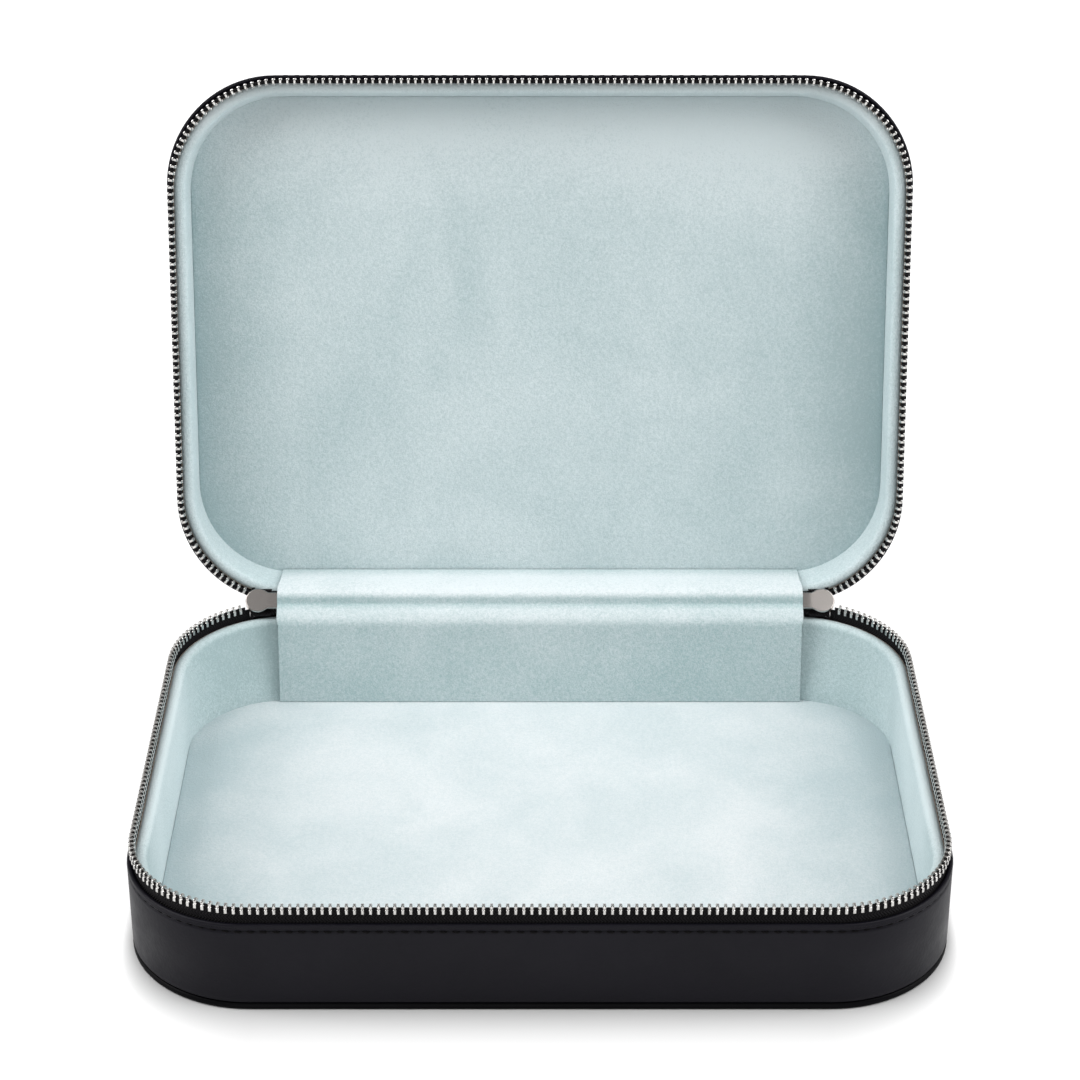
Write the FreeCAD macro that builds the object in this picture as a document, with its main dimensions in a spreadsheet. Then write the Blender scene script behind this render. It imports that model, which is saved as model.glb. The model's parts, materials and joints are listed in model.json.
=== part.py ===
import FreeCAD, Part
import math
import os
from types import SimpleNamespace

import Sketcher
from FreeCAD import Placement, Rotation, Vector

# A zip-round leather jewellery case, standing open: millimetres, +Z up, the origin at the middle
# of its underside, the hinge along X at the back (+Y).

# Driving dimensions. Insets are measured inwards from the outer face of the leather.
driving = {
    # overall
    "case_width": 213.0,
    "case_depth": 155.0,
    "corner_radius": 33.5,
    "zip_height": 30.5,
    "lid_height": 21.0,
    "lid_open_angle": 104.0,
    "lid_taper": 1.7,
    # layers of the walls
    "leather_thickness": 1.2,
    "board_thickness": 2.6,
    "lining_thickness": 1.5,
    "fit_gap": 0.05,
    "edge_bevel": 0.4,
    # bottom and top
    "panel_thickness": 1.0,
    "panel_lip": 1.9,
    "panel_bevel": 0.6,
    "floor_thickness": 1.0,
    "ceiling_thickness": 1.5,
    "card_thickness": 0.6,
    # linings and pads
    "lining_lip": 1.2,
    "lip_bevel": 0.9,
    "wall_lean": 0.3,
    "back_wall_lean": 7.0,
    "floor_radius": 25.0,
    "lid_side_lean": 0.4,
    "lid_end_lean": 1.7,
    "lid_pad_radius": 24.0,
    "lid_pad_depth": 14.4,
    "floor_pad_edge": 1.0,
    "pad_gap": 0.3,
    "pad_shoulder": 3.0,
    "pad_crown_inset": 18.0,
    "floor_pad_crown": 0.7,
    "lid_pad_crown": 1.4,
    # zip
    "zip_gap": 4.3,
    "tape_thickness": 0.6,
    "tape_hold": 7.0,
    "tooth_pitch": 2.0,
    "tooth_thickness": 0.85,
    "tooth_leg": 2.2,
    "tooth_leg_width": 2.0,
    "tooth_head": 0.8,
    "tooth_head_width": 1.3,
    "tooth_notch": 0.6,
    "tape_edge": 1.2,
    "stop_at": 71.0,
    "stop_length": 2.4,
    "stop_margin": 0.2,
    "tape_end_at": 62.0,
    # sliders and pulls
    "slider_at": 81.5,
    "slider_length": 10.0,
    "slider_head_width": 7.3,
    "slider_waist_width": 6.2,
    "slider_tail_width": 5.6,
    "slider_head_length": 4.6,
    "slider_corner": 1.5,
    "plate_thickness": 0.7,
    "plate_gap": 2.5,
    "flange_width": 0.5,
    "flange_gap": 1.0,
    "wedge_length": 2.4,
    "wedge_width": 1.8,
    "mouth_gap": 0.5,
    "bail_length": 6.4,
    "bail_height": 3.6,
    "bail_bar": 0.8,
    "bail_width": 0.9,
    "ring_radius": 1.5,
    "ring_wire": 0.7,
    "pull_length": 19.0,
    "pull_width": 5.6,
    "pull_neck_width": 4.2,
    "pull_thickness": 1.0,
    "pull_hole": 2.2,
    "pull_eye_margin": 1.75,
    "pull_rounding": 1.6,
    # hinge
    "spine_width": 138.0,
    "spine_overlap": 12.0,
    "spine_thickness": 1.0,
    "spine_fold_radius": 1.2,
    "flap_width": 152.4,
    "flap_thickness": 1.1,
    "flap_fold_radius": 3.0,
    "flap_rise": 3.8,
    "flap_clearance": 0.35,
}


# A size holds its present value and the sheet expression that it comes from.
class Size:
    def __init__(self, value, text):
        self.value = value
        self.text = text

    def __add__(self, other):
        return joined(self, "+", other)

    def __sub__(self, other):
        return joined(self, "-", other)

    def __mul__(self, other):
        return joined(self, "*", other)

    def __truediv__(self, other):
        return joined(self, "/", other)

    def __neg__(self):
        return Size(-self.value, f"(-{self.text})")


def as_size(number):
    return number if isinstance(number, Size) else Size(float(number), str(number))


def joined(first, sign, second):
    second = as_size(second)
    worked_out = {
        "+": lambda a, b: a + b,
        "-": lambda a, b: a - b,
        "*": lambda a, b: a * b,
        "/": lambda a, b: a / b,
    }
    value = worked_out[sign](first.value, second.value)
    return Size(value, f"({first.text} {sign} {second.text})")


doc = FreeCAD.newDocument("jewellery_case")
sheet = doc.addObject("Spreadsheet::Sheet", "Sizes")
for row, (alias, number) in enumerate(driving.items(), start=1):
    sheet.set(f"A{row}", alias)
    sheet.set(f"B{row}", str(number))
    sheet.setAlias(f"B{row}", alias)
doc.recompute()
size = SimpleNamespace(**{name: Size(number, f"Sizes.{name}") for name, number in driving.items()})
nothing = Size(0.0, "0")

# Places that several pieces share. Heights in the lid are counted from the table with the lid shut.
tape_outside = size.leather_thickness + size.fit_gap
tape_inside = size.leather_thickness + size.tape_thickness
tape_middle = size.leather_thickness + size.tape_thickness / 2
rebate_face = tape_inside + size.fit_gap
board_inside = size.leather_thickness + size.board_thickness
lining_outside = board_inside + size.fit_gap
lining_inside = board_inside + size.lining_thickness
base_top = size.zip_height - size.zip_gap
base_lip_top = base_top + size.lining_lip
floor_height = size.panel_thickness + size.floor_thickness
floor_pad_height = floor_height + size.card_thickness + size.fit_gap
lid_rim = size.zip_height + size.zip_gap
lid_lip_bottom = lid_rim - size.lining_lip
lid_top = size.zip_height + size.lid_height
lid_board_top = lid_top - size.panel_thickness
lid_ceiling = lid_board_top - size.ceiling_thickness
lid_seam = lid_top - size.panel_lip
lid_pad_face = size.zip_height + size.lid_pad_depth
hinge_y = size.case_depth / 2 - tape_middle
hinge_z = size.zip_height
mouth_at = size.slider_at + size.slider_length / 2 + size.mouth_gap


def bind(target, path, amount):
    target.setExpression(path, amount.text)


# A rounded rectangle about the Y axis, with its own front and back edges.
class Outline:
    def __init__(self, half_width, front, back, radius):
        self.half_width = half_width
        self.front = front
        self.back = back
        self.radius = radius

    def smaller(self, amount):
        return Outline(self.half_width - amount, self.front - amount, self.back - amount,
                       self.radius - amount)

    def edge_distance(self, point):
        radius = self.radius.value
        across = abs(point.x) - (self.half_width.value - radius)
        middle = (self.back.value - self.front.value) / 2
        reach = (self.back.value + self.front.value) / 2
        along = abs(point.y - middle) - (reach - radius)
        corner = math.hypot(max(across, 0), max(along, 0))
        return abs(corner + min(max(across, along), 0) - radius)


def inset(amount):
    half_depth = size.case_depth / 2 - amount
    return Outline(size.case_width / 2 - amount, half_depth, half_depth,
                   size.corner_radius - amount)


def lid_inset(amount, height):
    share = (height - lid_rim) / (lid_top - lid_rim)
    return inset(amount + size.lid_taper * share)


floor_outline = Outline(size.case_width / 2 - lining_inside - size.wall_lean,
                        size.case_depth / 2 - lining_inside - size.wall_lean,
                        size.case_depth / 2 - lining_inside - size.back_wall_lean,
                        size.floor_radius)
lid_end_reach = size.case_depth / 2 - lining_inside - size.lid_end_lean
lid_pad_outline = Outline(size.case_width / 2 - lining_inside - size.lid_side_lean,
                          lid_end_reach, lid_end_reach, size.lid_pad_radius)


# Sketches and features
def new_body(label):
    body = doc.addObject("PartDesign::Body", label)
    body.Label = label
    return body


def new_sketch(body, role, offset=nothing):
    sketch = body.newObject("Sketcher::SketchObject", f"{body.Label}_sketch")
    plane = next(item for item in body.Origin.OriginFeatures if item.Role == role)
    sketch.AttachmentSupport = [(plane, "")]
    sketch.MapMode = "FlatFace"
    bind(sketch, "AttachmentOffset.Base.z", offset)
    return sketch


def dimension(sketch, kind, picks, amount):
    index = sketch.addConstraint(Sketcher.Constraint(kind, *picks, amount.value))
    bind(sketch, f"Constraints[{index}]", amount)


def draw_outline(sketch, outline):
    x, radius = outline.half_width.value, outline.radius.value
    low, high = -outline.front.value, outline.back.value
    first = sketch.GeometryCount
    sides = (((radius - x, low), (x - radius, low)), ((x, low + radius), (x, high - radius)),
             ((x - radius, high), (radius - x, high)), ((-x, high - radius), (-x, low + radius)))
    for start, end in sides:
        sketch.addGeometry(Part.LineSegment(Vector(*start, 0), Vector(*end, 0)))
    corners = ((x - radius, low + radius), (x - radius, high - radius),
               (radius - x, high - radius), (radius - x, low + radius))
    for quarter, centre in enumerate(corners):
        circle = Part.Circle(Vector(*centre, 0), Vector(0, 0, 1), radius)
        start_angle = (quarter - 1) * math.pi / 2
        sketch.addGeometry(Part.ArcOfCircle(circle, start_angle, start_angle + math.pi / 2))
    for quarter in range(4):
        side, corner, following = first + quarter, first + 4 + quarter, first + (quarter + 1) % 4
        sketch.addConstraint(Sketcher.Constraint("Tangent", side, 2, corner, 1))
        sketch.addConstraint(Sketcher.Constraint("Tangent", corner, 2, following, 1))
        sketch.addConstraint(Sketcher.Constraint(("Horizontal", "Vertical")[quarter % 2], side))
    for quarter in range(1, 4):
        sketch.addConstraint(Sketcher.Constraint("Equal", first + 4, first + 4 + quarter))
    dimension(sketch, "Radius", (first + 4,), outline.radius)
    dimension(sketch, "DistanceX", (-1, 1, first + 1, 1), outline.half_width)
    dimension(sketch, "DistanceX", (first + 3, 1, -1, 1), outline.half_width)
    dimension(sketch, "DistanceY", (first, 1, -1, 1), outline.front)
    dimension(sketch, "DistanceY", (-1, 1, first + 2, 1), outline.back)


def draw_polygon(sketch, corners):
    first = sketch.GeometryCount
    count = len(corners)
    points = [Vector(x.value, y.value, 0) for x, y in corners]
    for index in range(count):
        sketch.addGeometry(Part.LineSegment(points[index], points[(index + 1) % count]))
    for index, corner in enumerate(corners):
        side = first + index
        sketch.addConstraint(
            Sketcher.Constraint("Coincident", first + (index - 1) % count, 2, side, 1))
        for kind, axis, amount in (("DistanceX", -2, corner[0]), ("DistanceY", -1, corner[1])):
            if amount.value > 0:
                dimension(sketch, kind, (-1, 1, side, 1), amount)
            elif amount.value < 0:
                dimension(sketch, kind, (side, 1, -1, 1), -amount)
            else:
                sketch.addConstraint(Sketcher.Constraint("PointOnObject", side, 1, axis))


def outline_sketch(body, height, *outlines):
    sketch = new_sketch(body, "XY_Plane", height)
    for outline in outlines:
        draw_outline(sketch, outline)
    return sketch


def extrude(body, kind, sketch, length, flipped=False, both_ways=False):
    feature = body.newObject(kind, f"{body.Label}_extrusion")
    feature.Profile = sketch
    bind(feature, "Length", length)
    feature.Reversed = flipped
    if both_ways:
        feature.SideType = "Symmetric"
    return feature


def pad_between(body, low, high, *outlines):
    return extrude(body, "PartDesign::Pad", outline_sketch(body, low, *outlines), high - low)


def pocket_between(body, low, high, *outlines):
    return extrude(body, "PartDesign::Pocket", outline_sketch(body, high, *outlines), high - low)


def loft_through(body, kind, sections):
    feature = body.newObject(kind, f"{body.Label}_loft")
    sketches = [outline_sketch(body, height, outline) for height, outline in sections]
    feature.Profile = sketches[0]
    feature.Sections = sketches[1:]
    feature.Ruled = True
    return feature


def finish_edges(body, kind, measure, chosen, amount):
    doc.recompute()
    base = body.Tip
    names = []
    for index, edge in enumerate(base.Shape.Edges, start=1):
        middle = edge.valueAt((edge.FirstParameter + edge.LastParameter) / 2)
        if chosen(edge, middle):
            names.append(f"Edge{index}")
    feature = body.newObject(kind, f"{body.Label}_edges")
    feature.Base = (base, names)
    bind(feature, measure, amount)


def round_edges(body, chosen, radius):
    finish_edges(body, "PartDesign::Fillet", "Radius", chosen, radius)


def bevel_rim(body, outline, height, amount):
    def on_rim(edge, middle):
        return abs(middle.z - height.value) < 1e-4 and outline.edge_distance(middle) < 1e-3

    finish_edges(body, "PartDesign::Chamfer", "Size", on_rim, amount)


def add_shape(label, shape):
    feature = doc.addObject("Part::Feature", label)
    feature.Label = label
    feature.Shape = shape
    return feature


# Takes a band away along the hinge, between two heights
def cut_back(body, half_width, low, high):
    sketch = new_sketch(body, "XY_Plane", high)
    middle, back = size.case_depth / 4, size.case_depth / 2
    draw_polygon(sketch, [(-half_width, middle), (half_width, middle),
                          (half_width, back), (-half_width, back)])
    extrude(body, "PartDesign::Pocket", sketch, high - low)


# The leather, boards and cards of the base
def make_base_bottom_panel():
    body = new_body("base_bottom_panel")
    pad_between(body, nothing, size.panel_lip, inset(nothing))
    pocket_between(body, size.panel_thickness, size.panel_lip, inset(size.leather_thickness))
    bevel_rim(body, inset(nothing), nothing, size.panel_bevel)
    return body


def make_base_board():
    body = new_body("base_board")
    outside = inset(tape_outside)
    pad_between(body, size.panel_thickness, base_top, outside)
    pocket_between(body, floor_height, base_top, inset(board_inside))
    pocket_between(body, base_top - size.tape_hold, base_top, outside, inset(rebate_face))
    return body


def make_base_leather_band():
    body = new_body("base_leather_band")
    outside, inside = inset(nothing), inset(size.leather_thickness)
    pad_between(body, size.panel_lip, base_top, outside, inside)
    bevel_rim(body, outside, base_top, size.edge_bevel)
    return body


def make_base_pad_card():
    body = new_body("base_pad_card")
    pad_between(body, floor_height, floor_height + size.card_thickness,
                floor_outline.smaller(size.pad_gap))
    return body


# The linings: an upright shell with a lip over the board, hollowed along the leaning inside and
# cut low at the hinge, where the sliders turn
def make_base_wall_lining():
    body = new_body("base_wall_lining")
    mouth = inset(lining_inside)
    pad_between(body, floor_height, base_lip_top, inset(lining_outside))
    pad_between(body, base_top + size.fit_gap, base_lip_top, inset(rebate_face))
    loft_through(body, "PartDesign::SubtractiveLoft",
                 [(floor_height, floor_outline), (base_lip_top - size.lip_bevel, mouth),
                  (base_lip_top, mouth.smaller(-size.lip_bevel))])
    cut_back(body, mouth_at, base_top, base_lip_top)
    return body


def make_lid_wall_lining():
    body = new_body("lid_wall_lining")
    mouth = inset(lining_inside)
    loft_through(body, "PartDesign::AdditiveLoft",
                 [(lid_lip_bottom, lid_inset(lining_outside, lid_lip_bottom)),
                  (lid_ceiling, lid_inset(lining_outside, lid_ceiling))])
    pad_between(body, lid_lip_bottom, lid_rim - size.fit_gap, inset(rebate_face))
    loft_through(body, "PartDesign::SubtractiveLoft",
                 [(lid_lip_bottom, mouth.smaller(-size.lip_bevel)),
                  (lid_lip_bottom + size.lip_bevel, mouth),
                  (lid_pad_face, lid_pad_outline), (lid_ceiling, lid_pad_outline)])
    cut_back(body, mouth_at, lid_lip_bottom, lid_rim)
    return body


# The padded panels: a firm edge, a rounded shoulder and a low crown
def make_base_floor_pad():
    body = new_body("base_floor_pad")
    edge = floor_outline.smaller(size.pad_gap)
    shoulder = floor_pad_height + size.floor_pad_edge
    crown = shoulder + size.floor_pad_crown
    loft_through(body, "PartDesign::AdditiveLoft",
                 [(floor_pad_height, edge), (shoulder - size.floor_pad_edge / 2, edge),
                  (shoulder, edge.smaller(size.pad_shoulder / 2)),
                  (crown, edge.smaller(size.pad_crown_inset))])
    return body


def make_lid_pad():
    body = new_body("lid_pad")
    edge = lid_pad_outline.smaller(size.pad_gap)
    back = lid_ceiling - size.card_thickness - size.fit_gap
    shoulder = lid_pad_face - size.lid_pad_crown / 2
    loft_through(body, "PartDesign::AdditiveLoft",
                 [(back, edge), (lid_pad_face, edge), (shoulder, edge.smaller(size.pad_shoulder)),
                  (lid_pad_face - size.lid_pad_crown, edge.smaller(size.pad_crown_inset))])
    return body


def make_lid_pad_card():
    body = new_body("lid_pad_card")
    pad_between(body, lid_ceiling - size.card_thickness, lid_ceiling,
                lid_pad_outline.smaller(size.pad_gap))
    return body


# The leather and board of the lid, drawn shut
def make_lid_top_panel():
    body = new_body("lid_top_panel")
    outside = lid_inset(nothing, lid_top)
    pad_between(body, lid_seam, lid_top, outside)
    pocket_between(body, lid_seam, lid_board_top, lid_inset(size.leather_thickness, lid_seam))
    bevel_rim(body, outside, lid_top, size.panel_bevel)
    return body


def make_lid_board():
    body = new_body("lid_board")
    hold_top = lid_rim + size.tape_hold
    loft_through(body, "PartDesign::AdditiveLoft",
                 [(lid_rim, lid_inset(rebate_face, lid_rim)),
                  (hold_top, lid_inset(rebate_face, hold_top))])
    loft_through(body, "PartDesign::AdditiveLoft",
                 [(hold_top, lid_inset(tape_outside, hold_top)),
                  (lid_board_top, lid_inset(tape_outside, lid_top))])
    loft_through(body, "PartDesign::SubtractiveLoft",
                 [(lid_rim, lid_inset(board_inside, lid_rim)),
                  (lid_ceiling, lid_inset(board_inside, lid_ceiling))])
    return body


def make_lid_leather_band():
    body = new_body("lid_leather_band")
    rim, seam = lid_inset(nothing, lid_rim), lid_inset(nothing, lid_seam)
    loft_through(body, "PartDesign::AdditiveLoft", [(lid_rim, rim), (lid_seam, seam)])
    loft_through(body, "PartDesign::SubtractiveLoft",
                 [(lid_rim, lid_inset(size.leather_thickness, lid_rim)),
                  (lid_seam, lid_inset(size.leather_thickness, lid_seam))])
    bevel_rim(body, rim, lid_rim, size.edge_bevel)
    return body


# The zip tapes: sewn in behind the leather, open at the hinge, cut low beside the sliders
def make_base_zip_tape():
    body = new_body("base_zip_tape")
    low = base_top - size.tape_hold + size.fit_gap
    high = size.zip_height - size.tape_edge
    pad_between(body, low, high, inset(tape_outside), inset(tape_inside))
    cut_back(body, size.tape_end_at, low, high)
    cut_back(body, mouth_at, base_top, high)
    return body


def make_lid_zip_tape():
    body = new_body("lid_zip_tape")
    low = size.zip_height + size.tape_edge
    high = lid_rim + size.tape_hold - size.fit_gap
    pad_between(body, low, lid_rim, inset(tape_outside), inset(tape_inside))
    loft_through(body, "PartDesign::AdditiveLoft",
                 [(lid_rim, inset(tape_outside)), (high, lid_inset(tape_outside, high))])
    loft_through(body, "PartDesign::SubtractiveLoft",
                 [(lid_rim, inset(tape_inside)), (high, lid_inset(tape_inside, high))])
    cut_back(body, size.tape_end_at, low, high)
    cut_back(body, mouth_at, low, lid_rim)
    return body


# The zip teeth: forked prisms that straddle the edge of the tape
def tooth_solid(points_up):
    leg, head = size.tooth_leg_width.value / 2, size.tooth_head_width.value / 2
    outline = [(-leg, -size.tooth_leg.value), (0, -size.tooth_notch.value),
               (leg, -size.tooth_leg.value), (head, size.tooth_head.value),
               (-head, size.tooth_head.value)]
    turn = 1 if points_up else -1
    thickness = size.tooth_thickness.value
    corners = [Vector(-thickness / 2, across, turn * height) for across, height in outline]
    face = Part.Face(Part.makePolygon(corners + corners[:1]))
    return face.extrude(Vector(thickness, 0, 0))


# A point of the chain's right half, counted along it from the middle of the front
def chain_place(length):
    path = inset(tape_middle)
    radius = path.radius.value
    straight = path.half_width.value - radius
    side = 2 * (path.front.value - radius)
    quarter = radius * math.pi / 2
    if length <= straight:
        return Vector(length, -path.front.value, 0), 0.0
    length -= straight
    if length <= quarter:
        turn = length / radius
        centre = Vector(straight, radius - path.front.value, 0)
        return centre + Vector(math.sin(turn), -math.cos(turn), 0) * radius, math.degrees(turn)
    length -= quarter
    if length <= side:
        return Vector(path.half_width.value, radius - path.front.value + length, 0), 90.0
    turn = (length - side) / radius
    centre = Vector(straight, path.back.value - radius, 0)
    return centre + Vector(math.cos(turn), math.sin(turn), 0) * radius, 90 + math.degrees(turn)


def make_teeth(label, points_up, first):
    pitch = size.tooth_pitch.value
    lift = Vector(0, 0, size.zip_height.value)
    tooth = tooth_solid(points_up)
    teeth = []
    length = first
    point, angle = chain_place(length)
    while point.y < 0 or point.x > mouth_at.value + pitch / 2:
        places = [(point, angle)]
        if length > 0:
            places.append((Vector(-point.x, point.y, 0), -angle))
        for place, turn in places:
            copy = tooth.copy()
            copy.Placement = Placement(place + lift, Rotation(Vector(0, 0, 1), turn))
            teeth.append(copy)
        length += pitch
        point, angle = chain_place(length)
    return add_shape(label, Part.makeCompound(teeth))


# The closed end of the zip on one side, drawn shut about the hinge line at the origin
def make_chain_end(label):
    pitch = size.tooth_pitch.value
    start = size.stop_at.value + size.stop_length.value / 2 + size.tooth_thickness.value
    end = size.slider_at.value - size.mouth_gap.value
    count = int((end - start) / (pitch / 2))
    teeth = []
    for index in range(count):
        tooth = tooth_solid(index % 2 == 0)
        tooth.translate(Vector(start + index * pitch / 2, 0, 0))
        teeth.append(tooth)
    return add_shape(label, Part.makeCompound(teeth))


def make_tape_ends(label):
    reach = size.zip_gap - size.stop_margin - size.tape_edge
    start, end = size.tape_end_at.value, size.slider_at.value - size.mouth_gap.value
    thickness = size.tape_thickness.value
    strips = []
    for low in (size.tape_edge.value, -size.tape_edge.value - reach.value):
        strip = Part.makeBox(end - start, thickness, reach.value)
        strip.translate(Vector(start, -thickness / 2, low))
        strips.append(strip)
    return add_shape(label, Part.makeCompound(strips))


def make_stop(label):
    body = new_body(label)
    half = size.tooth_leg_width / 2 + size.stop_margin
    tall = size.tooth_leg + size.stop_margin
    sketch = new_sketch(body, "YZ_Plane", size.stop_at)
    draw_polygon(sketch, [(-half, -tall), (nothing, -size.tooth_notch), (half, -tall),
                          (half, tall), (nothing, size.tooth_notch), (-half, tall)])
    extrude(body, "PartDesign::Pad", sketch, size.stop_length, both_ways=True)
    return body


# A slider, drawn about its own middle with its mouth towards +X and its outside towards +Y
def slider_outline(half_widths):
    tail, waist, head = half_widths
    end = size.slider_length / 2
    shoulder = end - size.slider_head_length
    return [(-end, -tail), (shoulder, -waist), (end, -head),
            (end, head), (shoulder, waist), (-end, tail)]


def make_slider(label):
    body = new_body(label)
    half_gap = size.plate_gap / 2
    half_widths = (size.slider_tail_width / 2, size.slider_waist_width / 2,
                   size.slider_head_width / 2)
    for outward in (True, False):
        near = -half_gap if outward else half_gap
        sketch = new_sketch(body, "XZ_Plane", near)
        draw_polygon(sketch, slider_outline(half_widths))
        extrude(body, "PartDesign::Pad", sketch, size.plate_thickness, flipped=outward)
    wedge_end = size.slider_length / 2 - size.mouth_gap
    wedge_start = wedge_end - size.wedge_length
    wedge_middle = wedge_end - size.wedge_length / 2
    sketch = new_sketch(body, "XZ_Plane")
    draw_polygon(sketch, [(wedge_start, nothing), (wedge_middle, -size.wedge_width / 2),
                          (wedge_end, nothing), (wedge_middle, size.wedge_width / 2)])
    extrude(body, "PartDesign::Pad", sketch, size.plate_gap, both_ways=True)
    add_flanges(body)
    add_bail(body)

    def at_mouth_corner(edge, middle):
        corner = abs(abs(middle.z) - half_widths[2].value) + abs(
            middle.x - size.slider_length.value / 2)
        return corner < 1e-4

    round_edges(body, at_mouth_corner, size.slider_corner)
    return body


# The turned-in edges that keep the tape between the plates
def add_flanges(body):
    start = -size.slider_length / 2
    end = size.slider_length / 2 - size.slider_head_length
    outer = size.slider_tail_width / 2
    height = (size.plate_gap - size.flange_gap) / 2
    for outward in (True, False):
        near = -size.plate_gap / 2 if outward else size.plate_gap / 2
        sketch = new_sketch(body, "XZ_Plane", near)
        inner = outer - size.flange_width
        draw_polygon(sketch, [(start, inner), (end, inner), (end, outer), (start, outer)])
        draw_polygon(sketch, [(start, -outer), (end, -outer), (end, -inner), (start, -inner)])
        extrude(body, "PartDesign::Pad", sketch, height, flipped=not outward)


def add_bail(body):
    foot = size.plate_gap / 2
    top = foot + size.plate_thickness + size.bail_height
    half = size.bail_length / 2
    slope = size.bail_bar
    bar = size.bail_bar
    sketch = new_sketch(body, "XY_Plane")
    draw_polygon(sketch, [(-half, foot), (-half, top - slope), (slope - half, top),
                          (half - slope, top), (half, top - slope), (half, foot),
                          (half - bar, foot), (half - bar, top - bar),
                          (bar - half, top - bar), (bar - half, foot)])
    extrude(body, "PartDesign::Pad", sketch, size.bail_width, both_ways=True)


def make_pull_tab(label):
    body = new_body(label)
    neck, wide = size.pull_neck_width / 2, size.pull_width / 2
    top, bottom = size.pull_eye_margin, size.pull_eye_margin - size.pull_length
    sketch = new_sketch(body, "XZ_Plane")
    draw_polygon(sketch, [(-wide, bottom), (wide, bottom), (neck, top), (-neck, top)])
    circle = sketch.addGeometry(
        Part.Circle(Vector(0, 0, 0), Vector(0, 0, 1), size.pull_hole.value / 2))
    sketch.addConstraint(Sketcher.Constraint("Coincident", circle, 3, -1, 1))
    dimension(sketch, "Radius", (circle,), size.pull_hole / 2)
    extrude(body, "PartDesign::Pad", sketch, size.pull_thickness, both_ways=True)

    def upright(edge, middle):
        return len(edge.Vertexes) == 2 and abs(middle.y) < 1e-6

    round_edges(body, upright, size.pull_rounding)
    return body


# The link between the bail and the tab, bent from square wire with eight sides
def make_pull_ring(label):
    body = new_body(label)
    sketch = new_sketch(body, "XY_Plane")
    for reach in (size.ring_radius + size.ring_wire / 2, size.ring_radius - size.ring_wire / 2):
        half_side = reach * math.tan(math.pi / 8)
        draw_polygon(sketch, [(reach, -half_side), (reach, half_side), (half_side, reach),
                              (-half_side, reach), (-reach, half_side), (-reach, -half_side),
                              (-half_side, -reach), (half_side, -reach)])
    extrude(body, "PartDesign::Pad", sketch, size.ring_wire, both_ways=True)
    return body


# The two strips that bend at the hinge follow a path of straight runs and round folds
def strip_side(path, radii, shift):
    def beside(start, end):
        along = (end - start).normalize()
        return Vector(0, along.z, -along.y) * shift

    edges = []
    here = path[0] + beside(path[0], path[1])
    for index in range(1, len(path) - 1):
        before, corner, after = path[index - 1:index + 2]
        inward, outward = (corner - before).normalize(), (after - corner).normalize()
        turn = inward.getAngle(outward)
        reach = radii[index - 1] * math.tan(turn / 2)
        fold_start, fold_end = corner - inward * reach, corner + outward * reach
        start = fold_start + beside(before, corner)
        end = fold_end + beside(corner, after)
        bisector = (outward - inward).normalize()
        centre = corner + bisector * (radii[index - 1] / math.cos(turn / 2))
        middle = centre - bisector * (centre - start).Length
        edges.append(Part.LineSegment(here, start).toShape())
        edges.append(Part.Arc(start, middle, end).toShape())
        here = end
    last = path[-1] + beside(path[-2], path[-1])
    edges.append(Part.LineSegment(here, last).toShape())
    return edges


def folded_strip(label, path, radii, thickness, width):
    near = strip_side(path, radii, thickness / 2)
    far = strip_side(path, radii, -thickness / 2)
    ends = [Part.LineSegment(near[0].Vertexes[0].Point, far[0].Vertexes[0].Point).toShape(),
            Part.LineSegment(near[-1].Vertexes[-1].Point, far[-1].Vertexes[-1].Point).toShape()]
    outline = Part.Wire(Part.__sortEdges__(near + far + ends))
    solid = Part.Face(outline).extrude(Vector(width, 0, 0))
    solid.translate(Vector(-width / 2, 0, 0))
    return add_shape(label, solid)


# The lid's own turn about the hinge, and the half turn that the sliders make
hinge_point = Vector(0, hinge_y.value, hinge_z.value)
lid_turn = Rotation(Vector(1, 0, 0), -size.lid_open_angle.value)
half_turn = Rotation(Vector(1, 0, 0), -size.lid_open_angle.value / 2)
lid_placement = Placement(Vector(0, 0, 0), lid_turn, hinge_point)


def open_point(y, height):
    return lid_placement.multVec(Vector(0, y, height))


def make_hinge_spine():
    face = size.case_depth.value / 2 + size.fit_gap.value + size.spine_thickness.value / 2
    low = base_top.value - size.spine_overlap.value
    high = lid_rim.value + size.spine_overlap.value
    taper = (size.lid_taper / (lid_top - lid_rim)).value
    far_face = face - taper * size.spine_overlap.value
    # the fold lies where the two outer faces would meet
    base_face = Vector(0, face, low)
    lid_face, lid_far = open_point(face, lid_rim.value), open_point(far_face, high)
    along = (lid_far - lid_face).normalize()
    fold = lid_face + along * ((base_face.y - lid_face.y) / along.y)
    return folded_strip("hinge_spine", [base_face, fold, lid_far],
                        [size.spine_fold_radius.value], size.spine_thickness.value,
                        size.spine_width.value)


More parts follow.
